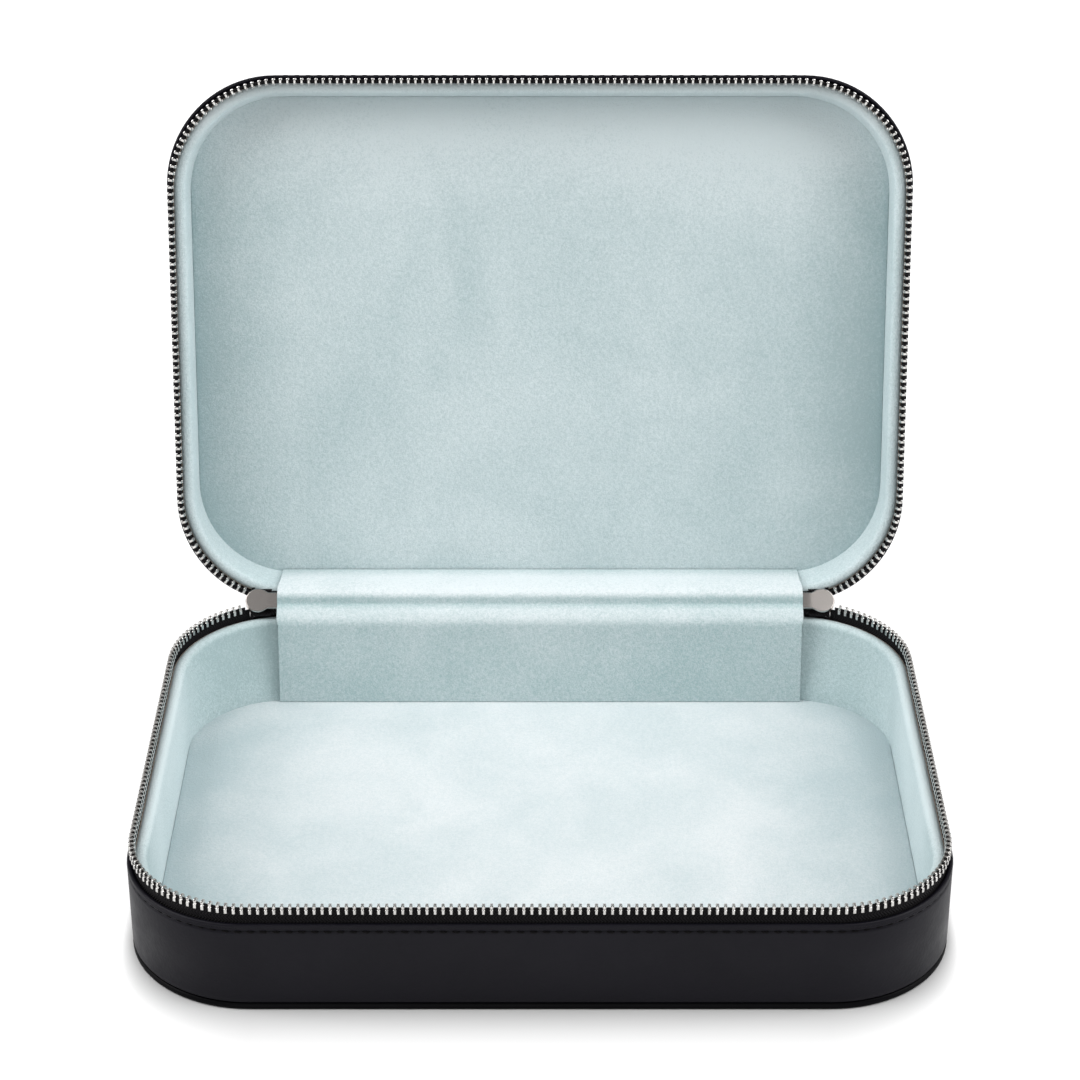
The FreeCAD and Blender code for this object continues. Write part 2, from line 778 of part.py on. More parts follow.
def make_hinge_flap():
    shift = size.flap_thickness.value / 2 + size.flap_clearance.value
    top_back = size.case_depth.value / 2 - lining_inside.value
    floor_back = floor_outline.back.value
    pad_top = (floor_pad_height + size.floor_pad_edge + size.floor_pad_crown).value
    lean = Vector(0, top_back - floor_back, base_lip_top.value - floor_height.value).normalize()
    off_wall = Vector(0, -lean.z, lean.y) * shift
    foot_height = pad_top + size.flap_clearance.value
    foot_share = (foot_height - floor_height.value) / (base_lip_top - floor_height).value
    foot = Vector(0, floor_back + (top_back - floor_back) * foot_share, foot_height) + off_wall
    rim = Vector(0, top_back, base_lip_top.value) + off_wall - lean * size.lip_bevel.value
    # over the zip ends, on the line that halves the opening
    crest = hinge_point + half_turn.multVec(Vector(0, -size.flap_rise.value, 0))
    lid_off_wall = lid_turn.multVec(Vector(0, -shift, 0))
    lid_end = open_point(lid_end_reach.value, lid_pad_face.value) + lid_off_wall
    lid_mouth = open_point(top_back, lid_lip_bottom.value + size.lip_bevel.value) + lid_off_wall
    lid_end = lid_end - (lid_end - lid_mouth).normalize() * size.lid_pad_crown.value
    fold = size.flap_fold_radius.value
    return folded_strip("hinge_flap", [foot, rim, crest, lid_mouth, lid_end],
                        [fold, fold, fold], size.flap_thickness.value, size.flap_width.value)


# Everything is built, then the lid and the zip ends are turned to where they stand
pieces = [
    make_base_bottom_panel(),
    make_base_board(),
    make_base_leather_band(),
    make_base_zip_tape(),
    make_teeth("base_zip_teeth", True, 0.0),
    make_base_wall_lining(),
    make_base_pad_card(),
    make_base_floor_pad(),
    make_hinge_spine(),
    make_hinge_flap(),
]
lid_pieces = [
    make_lid_top_panel(),
    make_lid_board(),
    make_lid_leather_band(),
    make_lid_zip_tape(),
    make_teeth("lid_zip_teeth", False, size.tooth_pitch.value / 2),
    make_lid_wall_lining(),
    make_lid_pad_card(),
    make_lid_pad(),
]
for piece in lid_pieces:
    piece.Placement = lid_placement
pieces += lid_pieces

bail_middle = (size.plate_gap / 2 + size.plate_thickness + size.bail_height
               - size.bail_bar / 2).value
bail_corner = math.hypot(size.bail_bar.value, size.bail_width.value) / 2
ring_inside = (size.ring_radius - size.ring_wire / 2 - size.fit_gap).value
ring_hang = ring_inside - bail_corner
# the edge of the tab's eye rests in the bottom of the ring
eye_rise = math.sqrt(size.pull_hole.value ** 2 - size.ring_wire.value ** 2) / 2
tab_drop = ring_inside + eye_rise
for side, flip in (("left", 180), ("right", 0)):
    mirrored = Rotation(Vector(0, 1, 0), flip)
    end_turn = half_turn.multiply(mirrored)
    along = end_turn.multVec(Vector(1, 0, 0))
    outward = end_turn.multVec(Vector(0, 1, 0))
    for piece in (make_tape_ends(f"zip_tape_end_{side}"), make_chain_end(f"zip_chain_end_{side}"),
                  make_stop(f"zip_stop_{side}")):
        piece.Placement = Placement(hinge_point, end_turn)
        pieces.append(piece)
    slider = make_slider(f"zip_slider_{side}")
    slider_point = hinge_point + along * size.slider_at.value
    slider.Placement = Placement(slider_point, end_turn)
    # the ring hangs out from the bail, clear of the leather, and the tab hangs straight down
    ring = make_pull_ring(f"pull_ring_{side}")
    ring_point = slider_point + outward * (bail_middle + ring_hang)
    ring.Placement = Placement(ring_point, Rotation(Vector(0, 1, 0), 90))
    tab = make_pull_tab(f"pull_tab_{side}")
    tab.Placement = Placement(ring_point - Vector(0, 0, tab_drop), Rotation())
    pieces += [slider, ring, tab]

doc.recompute()
failed = [item.Label for item in doc.Objects if "Invalid" in item.State or "Error" in item.State]
unsound = [piece.Label for piece in pieces if piece.Shape.isNull() or not piece.Shape.isValid()]
if failed or unsound:
    raise RuntimeError(f"failed: {failed}, unsound: {unsound}")

os.makedirs("parts", exist_ok=True)
for piece in pieces:
    piece.Shape.exportStep(f"parts/{piece.Label}.step")
    solids = len(piece.Shape.Solids)
    print(f"{piece.Label}: {solids} solids, {piece.Shape.Volume:.1f} mm3")
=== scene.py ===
import json
import math
from collections import namedtuple

import bmesh
import bpy
from mathutils import Matrix, Vector


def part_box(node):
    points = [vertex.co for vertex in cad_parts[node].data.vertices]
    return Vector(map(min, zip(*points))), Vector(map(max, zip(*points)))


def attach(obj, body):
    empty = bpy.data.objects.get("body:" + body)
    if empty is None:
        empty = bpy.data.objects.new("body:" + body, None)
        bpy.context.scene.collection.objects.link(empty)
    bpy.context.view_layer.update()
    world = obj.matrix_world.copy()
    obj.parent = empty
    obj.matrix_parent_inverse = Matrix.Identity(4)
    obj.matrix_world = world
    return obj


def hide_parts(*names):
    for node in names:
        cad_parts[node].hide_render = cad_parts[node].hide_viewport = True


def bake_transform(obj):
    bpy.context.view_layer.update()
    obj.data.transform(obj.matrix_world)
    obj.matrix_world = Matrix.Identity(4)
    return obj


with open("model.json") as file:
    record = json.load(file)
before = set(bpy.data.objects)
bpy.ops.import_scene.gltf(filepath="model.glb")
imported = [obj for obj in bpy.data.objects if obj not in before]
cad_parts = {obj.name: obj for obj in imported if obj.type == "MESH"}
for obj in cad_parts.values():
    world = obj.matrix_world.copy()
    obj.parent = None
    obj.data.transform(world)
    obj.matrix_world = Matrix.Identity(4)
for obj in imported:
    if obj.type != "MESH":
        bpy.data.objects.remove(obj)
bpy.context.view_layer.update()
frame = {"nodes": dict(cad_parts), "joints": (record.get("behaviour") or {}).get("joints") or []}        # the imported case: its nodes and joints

mm = 0.001

# places that come with the frame; the lid is modelled shut and then turned open
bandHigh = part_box("base_leather_band")[1]
lidHinge = next(joint for joint in frame["joints"] if joint["name"] == "lid_hinge")
hingePoint = Vector(lidHinge["pos_m"])
openAngle = math.radians(lidHinge["range_deg"][1])
baseTop = bandHigh.z
zipHeight = hingePoint.z
lidRim = 2 * zipHeight - baseTop
atHinge = Matrix.Translation(hingePoint)
lidTurn = atHinge @ Matrix.Rotation(-openAngle, 4, "X") @ Matrix.Translation(-hingePoint)
asBuilt = Matrix.Identity(4)

# the outline that every layer of the walls follows
caseShape = {
    "cornerRadius": 33.5 * mm, "cornerSteps": 20,
    "lidHeight": 21.0 * mm, "lidTaper": 1.7 * mm,
    "liningInset": 5.3 * mm,
}
Outline = namedtuple("Outline", "halfWidth front back radius")
caseOutline = Outline(bandHigh.x, bandHigh.y, bandHigh.y, caseShape["cornerRadius"])
lidTop = zipHeight + caseShape["lidHeight"]


def smaller(outline, amount):
    return Outline(*(side - amount for side in outline))


def lidInset(height):
    return caseShape["lidTaper"] * (height - lidRim) / (lidTop - lidRim)


# the two halves: outer face, rim, the way from face to rim, lean of the wall and turn into place
Half = namedtuple("Half", "body face rim away wallInset turn")
baseHalf = Half("base", 0.0, baseTop, 1, lambda height: 0.0, asBuilt)
lidHalf = Half("lid", lidTop, lidRim, -1, lidInset, lidTurn)
halves = (baseHalf, lidHalf)


# modelling helpers
def leaveEdit():
    bpy.ops.object.mode_set(mode="OBJECT")


def clearSelection():
    active = bpy.context.view_layer.objects.active
    if active and active.mode != "OBJECT":
        leaveEdit()
    bpy.ops.object.select_all(action="DESELECT")


def makeActive(piece):
    clearSelection()
    piece.select_set(True)
    bpy.context.view_layer.objects.active = piece


def applyPlace():
    bpy.ops.object.transform_apply(location=True, rotation=True, scale=True)


def editPiece(piece):
    makeActive(piece)
    bpy.ops.object.mode_set(mode="EDIT")


def selectAll(kind=None):
    if kind:
        bpy.ops.mesh.select_mode(type=kind)
    bpy.ops.mesh.select_all(action="SELECT")


# takes up the primitive that was added last
def startEdit(name):
    piece = bpy.context.object
    piece.name = piece.data.name = name
    applyPlace()
    bpy.ops.object.mode_set(mode="EDIT")
    selectAll()
    return piece


def pick(piece, kind, wanted):
    modes = {"verts": "VERT", "edges": "EDGE", "faces": "FACE"}
    bpy.ops.mesh.select_mode(type=modes[kind])
    bpy.ops.mesh.select_all(action="DESELECT")
    mesh = bmesh.from_edit_mesh(piece.data)
    for item in getattr(mesh, kind):
        if wanted(item):
            item.select_set(True)
    mesh.select_flush_mode()
    bmesh.update_edit_mesh(piece.data)


def moveBy(x, y, z):
    bpy.ops.transform.translate(value=(x, y, z))


def extrudeBy(x, y, z):
    bpy.ops.mesh.extrude_region_move(TRANSFORM_OT_translate={"value": (x, y, z)})


def extrudeEdgesBy(x, y, z):
    bpy.ops.mesh.extrude_edges_move(TRANSFORM_OT_translate={"value": (x, y, z)})


def resizeBy(x, y, z, centre=(0, 0, 0)):
    bpy.ops.transform.resize(value=(x, y, z), center_override=centre)


def mergeDoubles():
    selectAll()
    bpy.ops.mesh.remove_doubles(threshold=1e-6)


def alignNormals(inside=False):
    selectAll()
    bpy.ops.mesh.normals_make_consistent(inside=inside)


def setValues(thing, values):
    for name, value in values.items():
        setattr(thing, name, value)


def applyModifier(piece, kind, **settings):
    makeActive(piece)
    modifier = piece.modifiers.new(kind.title(), kind)
    setValues(modifier, settings)
    bpy.ops.object.modifier_apply(modifier=modifier.name)


def roundEdges(piece, width, segments, angle):
    applyModifier(piece, "BEVEL", width=width, segments=segments, limit_method="ANGLE",
                  angle_limit=math.radians(angle))


def roundedPlate(name, outline, height):
    clearSelection()
    bpy.ops.mesh.primitive_plane_add(size=2)
    piece = startEdit(name)
    resizeBy(outline.halfWidth, (outline.front + outline.back) / 2, 1)
    moveBy(0, (outline.back - outline.front) / 2, height)
    selectAll("VERT")
    bpy.ops.mesh.bevel(offset=outline.radius, segments=caseShape["cornerSteps"], affect="VERTICES")
    selectAll("FACE")
    return piece


# carries the selected face on to another outline and height
def carryTo(old, new, rise):
    extrudeBy(0, 0, rise)
    oldMiddle, newMiddle = (old.back - old.front) / 2, (new.back - new.front) / 2
    resizeBy(new.halfWidth / old.halfWidth, (new.front + new.back) / (old.front + old.back), 1,
             (0, oldMiddle, 0))
    moveBy(0, newMiddle - oldMiddle, 0)


# a plate that follows a section of (inset, height) points round the outline
def tracedPlate(name, outline, section):
    piece = roundedPlate(name, smaller(outline, section[0][0]), section[0][1])
    for (inset, height), (nextInset, nextHeight) in zip(section, section[1:]):
        step, rise = nextInset - inset, nextHeight - height
        if step > 1e-7:
            bpy.ops.mesh.inset(thickness=step, depth=rise)
        else:
            carryTo(smaller(outline, inset), smaller(outline, nextInset), rise)
    return piece


def dropCaps(piece):
    pick(piece, "faces", lambda face: len(face.verts) > caseShape["cornerSteps"])
    bpy.ops.mesh.delete(type="FACE")


def selectRims():
    bpy.ops.mesh.select_mode(type="EDGE")
    bpy.ops.mesh.select_all(action="DESELECT")
    bpy.ops.mesh.select_non_manifold()


def fillRims():
    selectRims()
    bpy.ops.mesh.fill_holes(sides=0)


def ringFromSection(name, outline, section):
    piece = tracedPlate(name, outline, section)
    dropCaps(piece)
    selectRims()
    bpy.ops.mesh.bridge_edge_loops()
    leaveEdit()
    return piece


def plateFromSection(name, outline, section):
    piece = tracedPlate(name, outline, section)
    fillRims()
    leaveEdit()
    return piece


# evenly spaced cuts through all faces
def cutAcross(normal, low, high, count):
    for index in range(1, count):
        selectAll()
        at = low + (high - low) * index / count
        bpy.ops.mesh.bisect(plane_co=Vector(normal) * at, plane_no=normal)


# a bar between two opposite corners
def barAcross(name, corner, opposite, bevel):
    clearSelection()
    bpy.ops.mesh.primitive_cube_add(size=1)
    piece = startEdit(name)
    resizeBy(*(abs(b - a) for a, b in zip(corner, opposite)))
    moveBy(*((a + b) / 2 for a, b in zip(corner, opposite)))
    bpy.ops.mesh.bevel(offset=bevel, segments=2, affect="EDGES")
    leaveEdit()
    return piece


def cutWith(piece, cutter):
    applyModifier(piece, "BOOLEAN", operation="DIFFERENCE", solver="EXACT", object=cutter)
    bpy.data.objects.remove(cutter)


def cutBox(piece, low, high):
    clearSelection()
    bpy.ops.mesh.primitive_cube_add(size=1, location=(low + high) / 2, scale=high - low)
    cutWith(piece, bpy.context.object)


def joinPieces(name, pieces):
    clearSelection()
    for piece in pieces:
        piece.select_set(True)
    bpy.context.view_layer.objects.active = pieces[0]
    bpy.ops.object.join()
    applyPlace()
    pieces[0].name = pieces[0].data.name = name
    return pieces[0]


def copiesAt(name, model, places):
    copies = []
    for place in places:
        copy = model.copy()
        copy.data = model.data.copy()
        copy.matrix_world = place
        bpy.context.collection.objects.link(copy)
        copies.append(copy)
    bpy.data.objects.remove(model)
    return joinPieces(name, copies)


# a finish, in the dictionary below, is a pair of slot name and material
def coverWith(mesh, finish):
    mesh.materials.clear()
    mesh.materials.append(finishes[finish][1])


def addSecondFinish(piece, finish, wanted):
    piece.data.materials.append(finishes[finish][1])
    for side in piece.data.polygons:
        side.material_index = 1 if wanted(side) else 0


def finishPiece(piece, body, finish, node=None, turn=asBuilt, sharp=40):
    editPiece(piece)
    mergeDoubles()
    alignNormals()
    leaveEdit()
    piece.matrix_world = turn
    applyPlace()
    bpy.ops.object.shade_smooth_by_angle(angle=math.radians(sharp))
    coverWith(piece.data, finish)
    if body:
        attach(piece, body)
    if node:
        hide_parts(node)


# a point of the right half of the outline and its turn, by a walk from the middle of the front
def outlinePoint(outline, length):
    radius = outline.radius
    quarter = radius * math.pi / 2
    side = outline.front + outline.back - 2 * radius
    runs = ((outline.halfWidth - radius, False), (quarter, True), (side, False), (quarter, True),
            (math.inf, False))
    x, y, turn = 0.0, -outline.front, 0.0
    for run, bends in runs:
        done = min(length, run)
        length -= done
        if bends:
            turned = turn + done / radius
            x += radius * (math.sin(turned) - math.sin(turn))
            y += radius * (math.cos(turn) - math.cos(turned))
            turn = turned
        else:
            x += done * math.cos(turn)
            y += done * math.sin(turn)
    return Vector((x, y, 0)), turn


# the length along the outline at which a point stands, negative on the left half
def lengthAlong(outline, point):
    radius = outline.radius
    straight, reach = outline.halfWidth - radius, outline.front - radius
    across, deep = abs(point.x), abs(point.y)
    if deep < reach:
        length = straight + radius * math.pi / 2 + reach - deep
    elif across > straight:
        length = straight + radius * math.atan2(across - straight, deep - reach)
    else:
        length = across
    if point.y > 0:
        length = 2 * (straight + reach) + radius * math.pi - length
    return math.copysign(length, point.x)


def unwrapTape(piece, lengthAt):
    layer = piece.data.uv_layers.new(name="alongWall")
    for loop in piece.data.loops:
        point = piece.data.vertices[loop.vertex_index].co
        layer.data[loop.index].uv = (lengthAt(point), point.z)


# places at an even pitch along both halves of the outline, up to a gap at the back
def placesAlong(outline, height, first, pitch, gapHalf, flip=asBuilt):
    places = []
    length = first
    point, turn = outlinePoint(outline, length)
    while point.y < 0 or point.x > gapHalf:
        for side in ((1, -1) if length > 0 else (1,)):
            spot = Vector((side * point.x, point.y, height))
            places.append(Matrix.Translation(spot) @ Matrix.Rotation(side * turn, 4, "Z") @ flip)
        length += pitch
        point, turn = outlinePoint(outline, length)
    return places


# node helpers: a value that is itself a socket is linked, any other is set
def plugIn(tree, node, inputs):
    for name, value in inputs.items():
        if isinstance(value, bpy.types.NodeSocket):
            tree.links.new(value, node.inputs[name])
        else:
            node.inputs[name].default_value = value


def addNode(tree, kind, inputs=None, **settings):
    node = tree.nodes.new(kind)
    setValues(node, settings)
    plugIn(tree, node, inputs or {})
    return node


def mathNode(tree, operation, *values):
    return addNode(tree, "ShaderNodeMath", dict(enumerate(values)), operation=operation).outputs[0]


def vectorMath(tree, operation, *values):
    return addNode(tree, "ShaderNodeVectorMath", dict(enumerate(values)), operation=operation).outputs


def axesOf(tree, vector):
    return addNode(tree, "ShaderNodeSeparateXYZ", {"Vector": vector}).outputs


def noiseValue(tree, place, scale, detail=2.0, roughness=0.5, distortion=0.0):
    return addNode(tree, "ShaderNodeTexNoise", {
        "Vector": place, "Scale": scale, "Detail": detail, "Roughness": roughness,
        "Distortion": distortion}).outputs["Fac"]


def spread(tree, value, low, high, newLow=0.0, newHigh=1.0):
    return addNode(tree, "ShaderNodeMapRange", {
        "Value": value, "From Min": low, "From Max": high, "To Min": newLow, "To Max": newHigh}).outputs[0]


def mixColour(tree, share, first, second):
    colours = {"Factor": share, 6: (*first, 1.0), 7: (*second, 1.0)}      # sockets 6 and 7 are the colours
    return addNode(tree, "ShaderNodeMix", colours, data_type="RGBA").outputs[2]


def bumped(tree, height, strength, distance):
    inputs = {"Height": height, "Strength": strength, "Distance": distance}
    return addNode(tree, "ShaderNodeBump", inputs).outputs["Normal"]


def newGroup(name, settings, results):
    group = bpy.data.node_groups.new(name, "ShaderNodeTree")
    sockets = group.interface
    sockets.new_socket("Place", in_out="INPUT", socket_type="NodeSocketVector")
    for setting, value in settings.items():
        socket = sockets.new_socket(setting, in_out="INPUT", socket_type="NodeSocketFloat")
        socket.default_value = value
    for result in results:
        sockets.new_socket(result, in_out="OUTPUT", socket_type="NodeSocketFloat")
    return group, group.nodes.new("NodeGroupInput").outputs, group.nodes.new("NodeGroupOutput")


def useGroup(tree, group, inputs):
    return addNode(tree, "ShaderNodeGroup", inputs, node_tree=group).outputs


# a look works out what goes into the sockets of a material's shader
def newMaterial(name, look, *settings):
    material = bpy.data.materials.new(name)
    material.use_nodes = True
    tree = material.node_tree
    place = addNode(tree, "ShaderNodeTexCoord").outputs["Object"]
    plugIn(tree, tree.nodes["Principled BSDF"], look(tree, place, *settings))
    return material


# groups that several finishes share
def makeGrainGroup():
    group, given, result = newGroup("hideGrain", {"Pores": 1300.0}, ("Height", "Wear", "Cloud"))
    place = given["Place"]
    pebbles = addNode(group, "ShaderNodeTexVoronoi", {"Vector": place, "Scale": given["Pores"]},
                      feature="SMOOTH_F1").outputs["Distance"]
    creases = noiseValue(group, place, 420.0, 4.0, 0.6)
    plugIn(group, result, {"Height": mathNode(group, "MULTIPLY_ADD", creases, 0.5, pebbles),
                           "Wear": noiseValue(group, place, 160.0, 5.0, 0.65),
                           "Cloud": noiseValue(group, place, 38.0, 3.0)})
    return group


def makeNapGroup():
    group, given, result = newGroup("velvetNap", {"Fibre": 2500.0, "Patch": 30.0},
                                    ("Height", "Fleck", "Brushed"))
    place = given["Place"]
    fibre = noiseValue(group, place, given["Fibre"], 2.0, 0.6)
    clump = noiseValue(group, place, 1050.0, 2.0, 0.55)
    fleck = mathNode(group, "MULTIPLY_ADD", clump, 0.6, fibre)
    brushed = noiseValue(group, place, given["Patch"], 3.0, 0.55, 0.6)
    plugIn(group, result, {"Height": mathNode(group, "MULTIPLY_ADD", clump, 0.7, fibre),
                           "Fleck": spread(group, fleck, 0.6, 1.0),
                           "Brushed": spread(group, brushed, 0.36, 0.66)})
    return group


def makeScuffGroup():
    group, given, result = newGroup("metalScuff", {"Grain": 900.0}, ("Height", "Dull"))
    place = given["Place"]
    along = addNode(group, "ShaderNodeMapping", {"Vector": place, "Scale": (0.15, 1.0, 1.0)}).outputs[0]
    lines = noiseValue(group, along, given["Grain"], 3.0, 0.6)
    blotch = noiseValue(group, place, 260.0, 3.0, 0.5)
    dull = mathNode(group, "MULTIPLY_ADD", blotch, 0.6, mathNode(group, "MULTIPLY", lines, 0.4))
    plugIn(group, result, {"Height": lines, "Dull": dull})
    return group


grainGroup, napGroup, scuffGroup = makeGrainGroup(), makeNapGroup(), makeScuffGroup()


# looks of the finishes
def leatherLook(tree, place, dark, light, roughness, shine):
    grain = useGroup(tree, grainGroup, {"Place": place})
    return {"Base Color": mixColour(tree, spread(tree, grain["Cloud"], 0.3, 0.7), dark, light),
            "Roughness": spread(tree, grain["Wear"], 0.3, 0.7, roughness - 0.05, roughness + 0.07),
            "Specular IOR Level": shine,
            "Normal": bumped(tree, grain["Height"], 0.22, 0.12 * mm)}


# painted light and shade: beyond a line across the cloth the velvet is painted paler where light falls and
# deeper where shade falls;
# axis, where the change starts and ends, and how much paler it is before and beyond
paintedVelvetShading = {
    "floorEnds": (0, 55 * mm, 102 * mm, 0.2, -0.34),
    "padEnds": (0, 72 * mm, 100 * mm, 0.04, -0.4),
    "padTop": (2, 135 * mm, 165 * mm, 0.0, 0.7),
    "lidRimTop": (2, 158 * mm, 172 * mm, 0.0, 0.5),
    "backWall": (1, 25 * mm, 60 * mm, 0.45, -0.22),
    "wallRim": (2, 25.2 * mm, 26.6 * mm, 0.0, 0.4),
    "foldRise": (2, 26.8 * mm, 29.0 * mm, -0.12, 0.2),
    "foldStep": (2, 30.6 * mm, 31.3 * mm, 0.0, -0.42),
    "foldTop": (2, 33.0 * mm, 34.5 * mm, 0.0, 0.72),
}
velvetPile = {"Roughness": 0.9, "Specular IOR Level": 0.15, "Sheen Weight": 0.35, "Sheen Roughness": 0.4,
              "Sheen Tint": (0.86, 0.95, 0.97, 1.0)}


def velvetLook(tree, place, deep, pale, patch, patchShare, fleckShare, *paintedShadings):
    nap = useGroup(tree, napGroup, {"Place": place, "Patch": patch})
    share = mathNode(tree, "MULTIPLY_ADD", nap["Brushed"], patchShare,
                     mathNode(tree, "MULTIPLY", nap["Fleck"], fleckShare))
    along = axesOf(tree, place)
    for paintedShading in paintedShadings:
        axis, low, high, before, beyond = paintedVelvetShading[paintedShading]
        # the painted light and shade of each entry is added to the share of the pale colour
        lean = spread(tree, mathNode(tree, "ABSOLUTE", along[axis]), low, high, before, beyond)
        share = mathNode(tree, "ADD", share, lean)
    share = addNode(tree, "ShaderNodeClamp", {"Value": share}).outputs[0]
    return {"Base Color": mixColour(tree, share, deep, pale),
            "Normal": bumped(tree, nap["Height"], 0.75, 0.25 * mm), **velvetPile}


def nickelLook(tree, place, colour, dullColour, roughness):
    scuff = useGroup(tree, scuffGroup, {"Place": place})
    dull = scuff["Dull"]
    return {"Base Color": mixColour(tree, spread(tree, dull, 0.35, 0.65), colour, dullColour),
            "Roughness": spread(tree, dull, 0.3, 0.7, roughness - 0.04, roughness + 0.06),
            "Metallic": 1.0,
            "Normal": bumped(tree, scuff["Height"], 0.06, 0.05 * mm)}


# herringbone tape: slanted ribs that change direction with each stripe
tapeWeave = {"ribPitch": 0.85 * mm, "stripe": 2.4 * mm, "slant": 0.9, "fuzz": 0.35,
             "dark": (0.0006, 0.0006, 0.0007), "light": (0.015, 0.014, 0.0155)}


def tapeLook(tree, place):
    wall = axesOf(tree, addNode(tree, "ShaderNodeUVMap", uv_map="alongWall").outputs["UV"])
    zigzag = mathNode(tree, "PINGPONG", wall["Y"], tapeWeave["stripe"] / 2)
    slanted = mathNode(tree, "MULTIPLY_ADD", zigzag, tapeWeave["slant"], wall["X"])
    rib = mathNode(tree, "SINE", mathNode(tree, "MULTIPLY", slanted, 2 * math.pi / tapeWeave["ribPitch"]))
    fuzz = noiseValue(tree, place, 3000.0)
    height = mathNode(tree, "MULTIPLY_ADD", fuzz, tapeWeave["fuzz"], spread(tree, rib, -1.0, 1.0))
    return {"Base Color": mixColour(tree, height, tapeWeave["dark"], tapeWeave["light"]),
            "Roughness": 0.7, "Specular IOR Level": 0.07, "Normal": bumped(tree, height, 0.9, 0.2 * mm)}


def threadLook(tree, place):
    twist = addNode(tree, "ShaderNodeTexWave", {"Vector": place, "Scale": 900.0, "Distortion": 1.5},
                    bands_direction="DIAGONAL").outputs["Fac"]
    return {"Base Color": mixColour(tree, twist, (0.001, 0.001, 0.001), (0.005, 0.0046, 0.005)),
            "Roughness": 0.75, "Specular IOR Level": 0.08, "Normal": bumped(tree, twist, 0.4, 0.08 * mm)}


def boardLook(tree, place):
    pulp = noiseValue(tree, place, 700.0, 4.0, 0.7)
    return {"Base Color": mixColour(tree, pulp, (0.24, 0.2, 0.17), (0.42, 0.37, 0.31)),
            "Roughness": 0.9, "Normal": bumped(tree, pulp, 0.3, 0.1 * mm)}


# leather: dark and light colour, roughness, shine; nickel: bright and dull colour, roughness
# velvet: deep and pale colour, scale of the brushed patches, shares of patch and fleck, and its painted
# light and shade
leathers = {
    "blackHide": ((0.0026, 0.0022, 0.005), (0.0045, 0.004, 0.0075), 0.44, 0.145),
    # the panels' rolled edges: hide painted darker and duller, as painted shade
    "blackHideEdge": ((0.0016, 0.0016, 0.002), (0.003, 0.0028, 0.0036), 0.4, 0.05),
}
# one cloth in lit and shaded copies: the walls, flap and pad are given deeper colours than the floor and lid
# as painted shade
velvets = {
    "floorVelvet": ((0.45, 0.535, 0.555), (0.69, 0.715, 0.725), 30.0, 0.36, 0.38, "floorEnds"),
    "wallVelvet": ((0.36, 0.465, 0.475), (0.63, 0.72, 0.735), 22.0, 0.3, 0.5, "backWall", "wallRim"),
    "flapVelvet": ((0.33, 0.44, 0.45), (0.64, 0.685, 0.70), 22.0, 0.25, 0.5,
                   "foldRise", "foldStep", "foldTop"),
    "lidVelvet": ((0.43, 0.53, 0.545), (0.66, 0.74, 0.755), 22.0, 0.35, 0.6, "lidRimTop"),
    "padVelvet": ((0.37, 0.475, 0.49), (0.61, 0.685, 0.70), 20.0, 0.35, 0.6, "padEnds", "padTop"),
}
metals = {
    "nickelTeeth": ((0.62, 0.61, 0.595), (0.44, 0.43, 0.415), 0.2),
    "nickelPlate": ((0.42, 0.395, 0.375), (0.35, 0.325, 0.31), 0.17),
}
finishes = {}
for slot, look, kinds in (("leather", leatherLook, leathers), ("velvet", velvetLook, velvets),
                          ("metal", nickelLook, metals), ("leather", threadLook, {"blackThread": ()}),
                          ("tape", tapeLook, {"zipTape": ()}), ("board", boardLook, {"greyBoard": ()})):
    for name, settings in kinds.items():
        finishes[name] = slot, newMaterial(name, look, *settings)
for node in ("base_board", "lid_board", "base_pad_card", "lid_pad_card"):
    coverWith(frame["nodes"][node].data, "greyBoard")
print("finishes ready")

# leather walls, with a tucked seam at the panel, a stitched groove and a folded rim
hideWall = {
    "thickness": 1.2 * mm,
    "seamHeight": 1.9 * mm, "seamTuck": 0.9 * mm,
    "stitchDrop": 2.1 * mm, "grooveDepth": 0.4 * mm, "grooveHalf": 0.5 * mm,
    "foldRadius": 0.5 * mm, "crease": 0.14 * mm,
}


def hideSection(half):
    away, rim = half.away, half.rim
    tuck, fold, thick = hideWall["seamTuck"], hideWall["foldRadius"], hideWall["thickness"]
    groove, reach, crease = hideWall["grooveDepth"], hideWall["grooveHalf"], hideWall["crease"]
    seam = half.face + away * hideWall["seamHeight"]
    hem = rim - away * hideWall["stitchDrop"]
    under = rim - away * 1.9 * fold
    points = [(tuck, seam), (0.33 * tuck, seam + away * 0.3 * mm), (0.05 * tuck, seam + away * 0.9 * mm),
              (0, seam + away * 2.0 * mm), (0, (seam + hem) / 2), (0, hem - away * 1.6 * reach),
              (0.2 * groove, hem - away * reach), (groove, hem), (0.2 * groove, hem + away * reach),
              (0, hem + away * 1.35 * reach), (crease, under), (0, under + away * crease),
              (0.1 * fold, rim - away * 0.9 * fold), (0.35 * fold, rim - away * 0.35 * fold),
              (0.9 * fold, rim), (thick - 0.7 * fold, rim),
              (thick - 0.15 * fold, rim - away * 0.35 * fold), (thick, rim - away * fold), (thick, seam)]
    return [(inset + half.wallInset(height), height) for inset, height in points]


for half in halves:
    wall = ringFromSection(f"{half.body}HideWall", caseOutline, hideSection(half))
    finishPiece(wall, half.body, "blackHide", f"{half.body}_leather_band", half.turn)

# bottom and top panels, with a rolled edge at the seam
panel = {"lip": 1.8 * mm, "roll": 0.9 * mm}


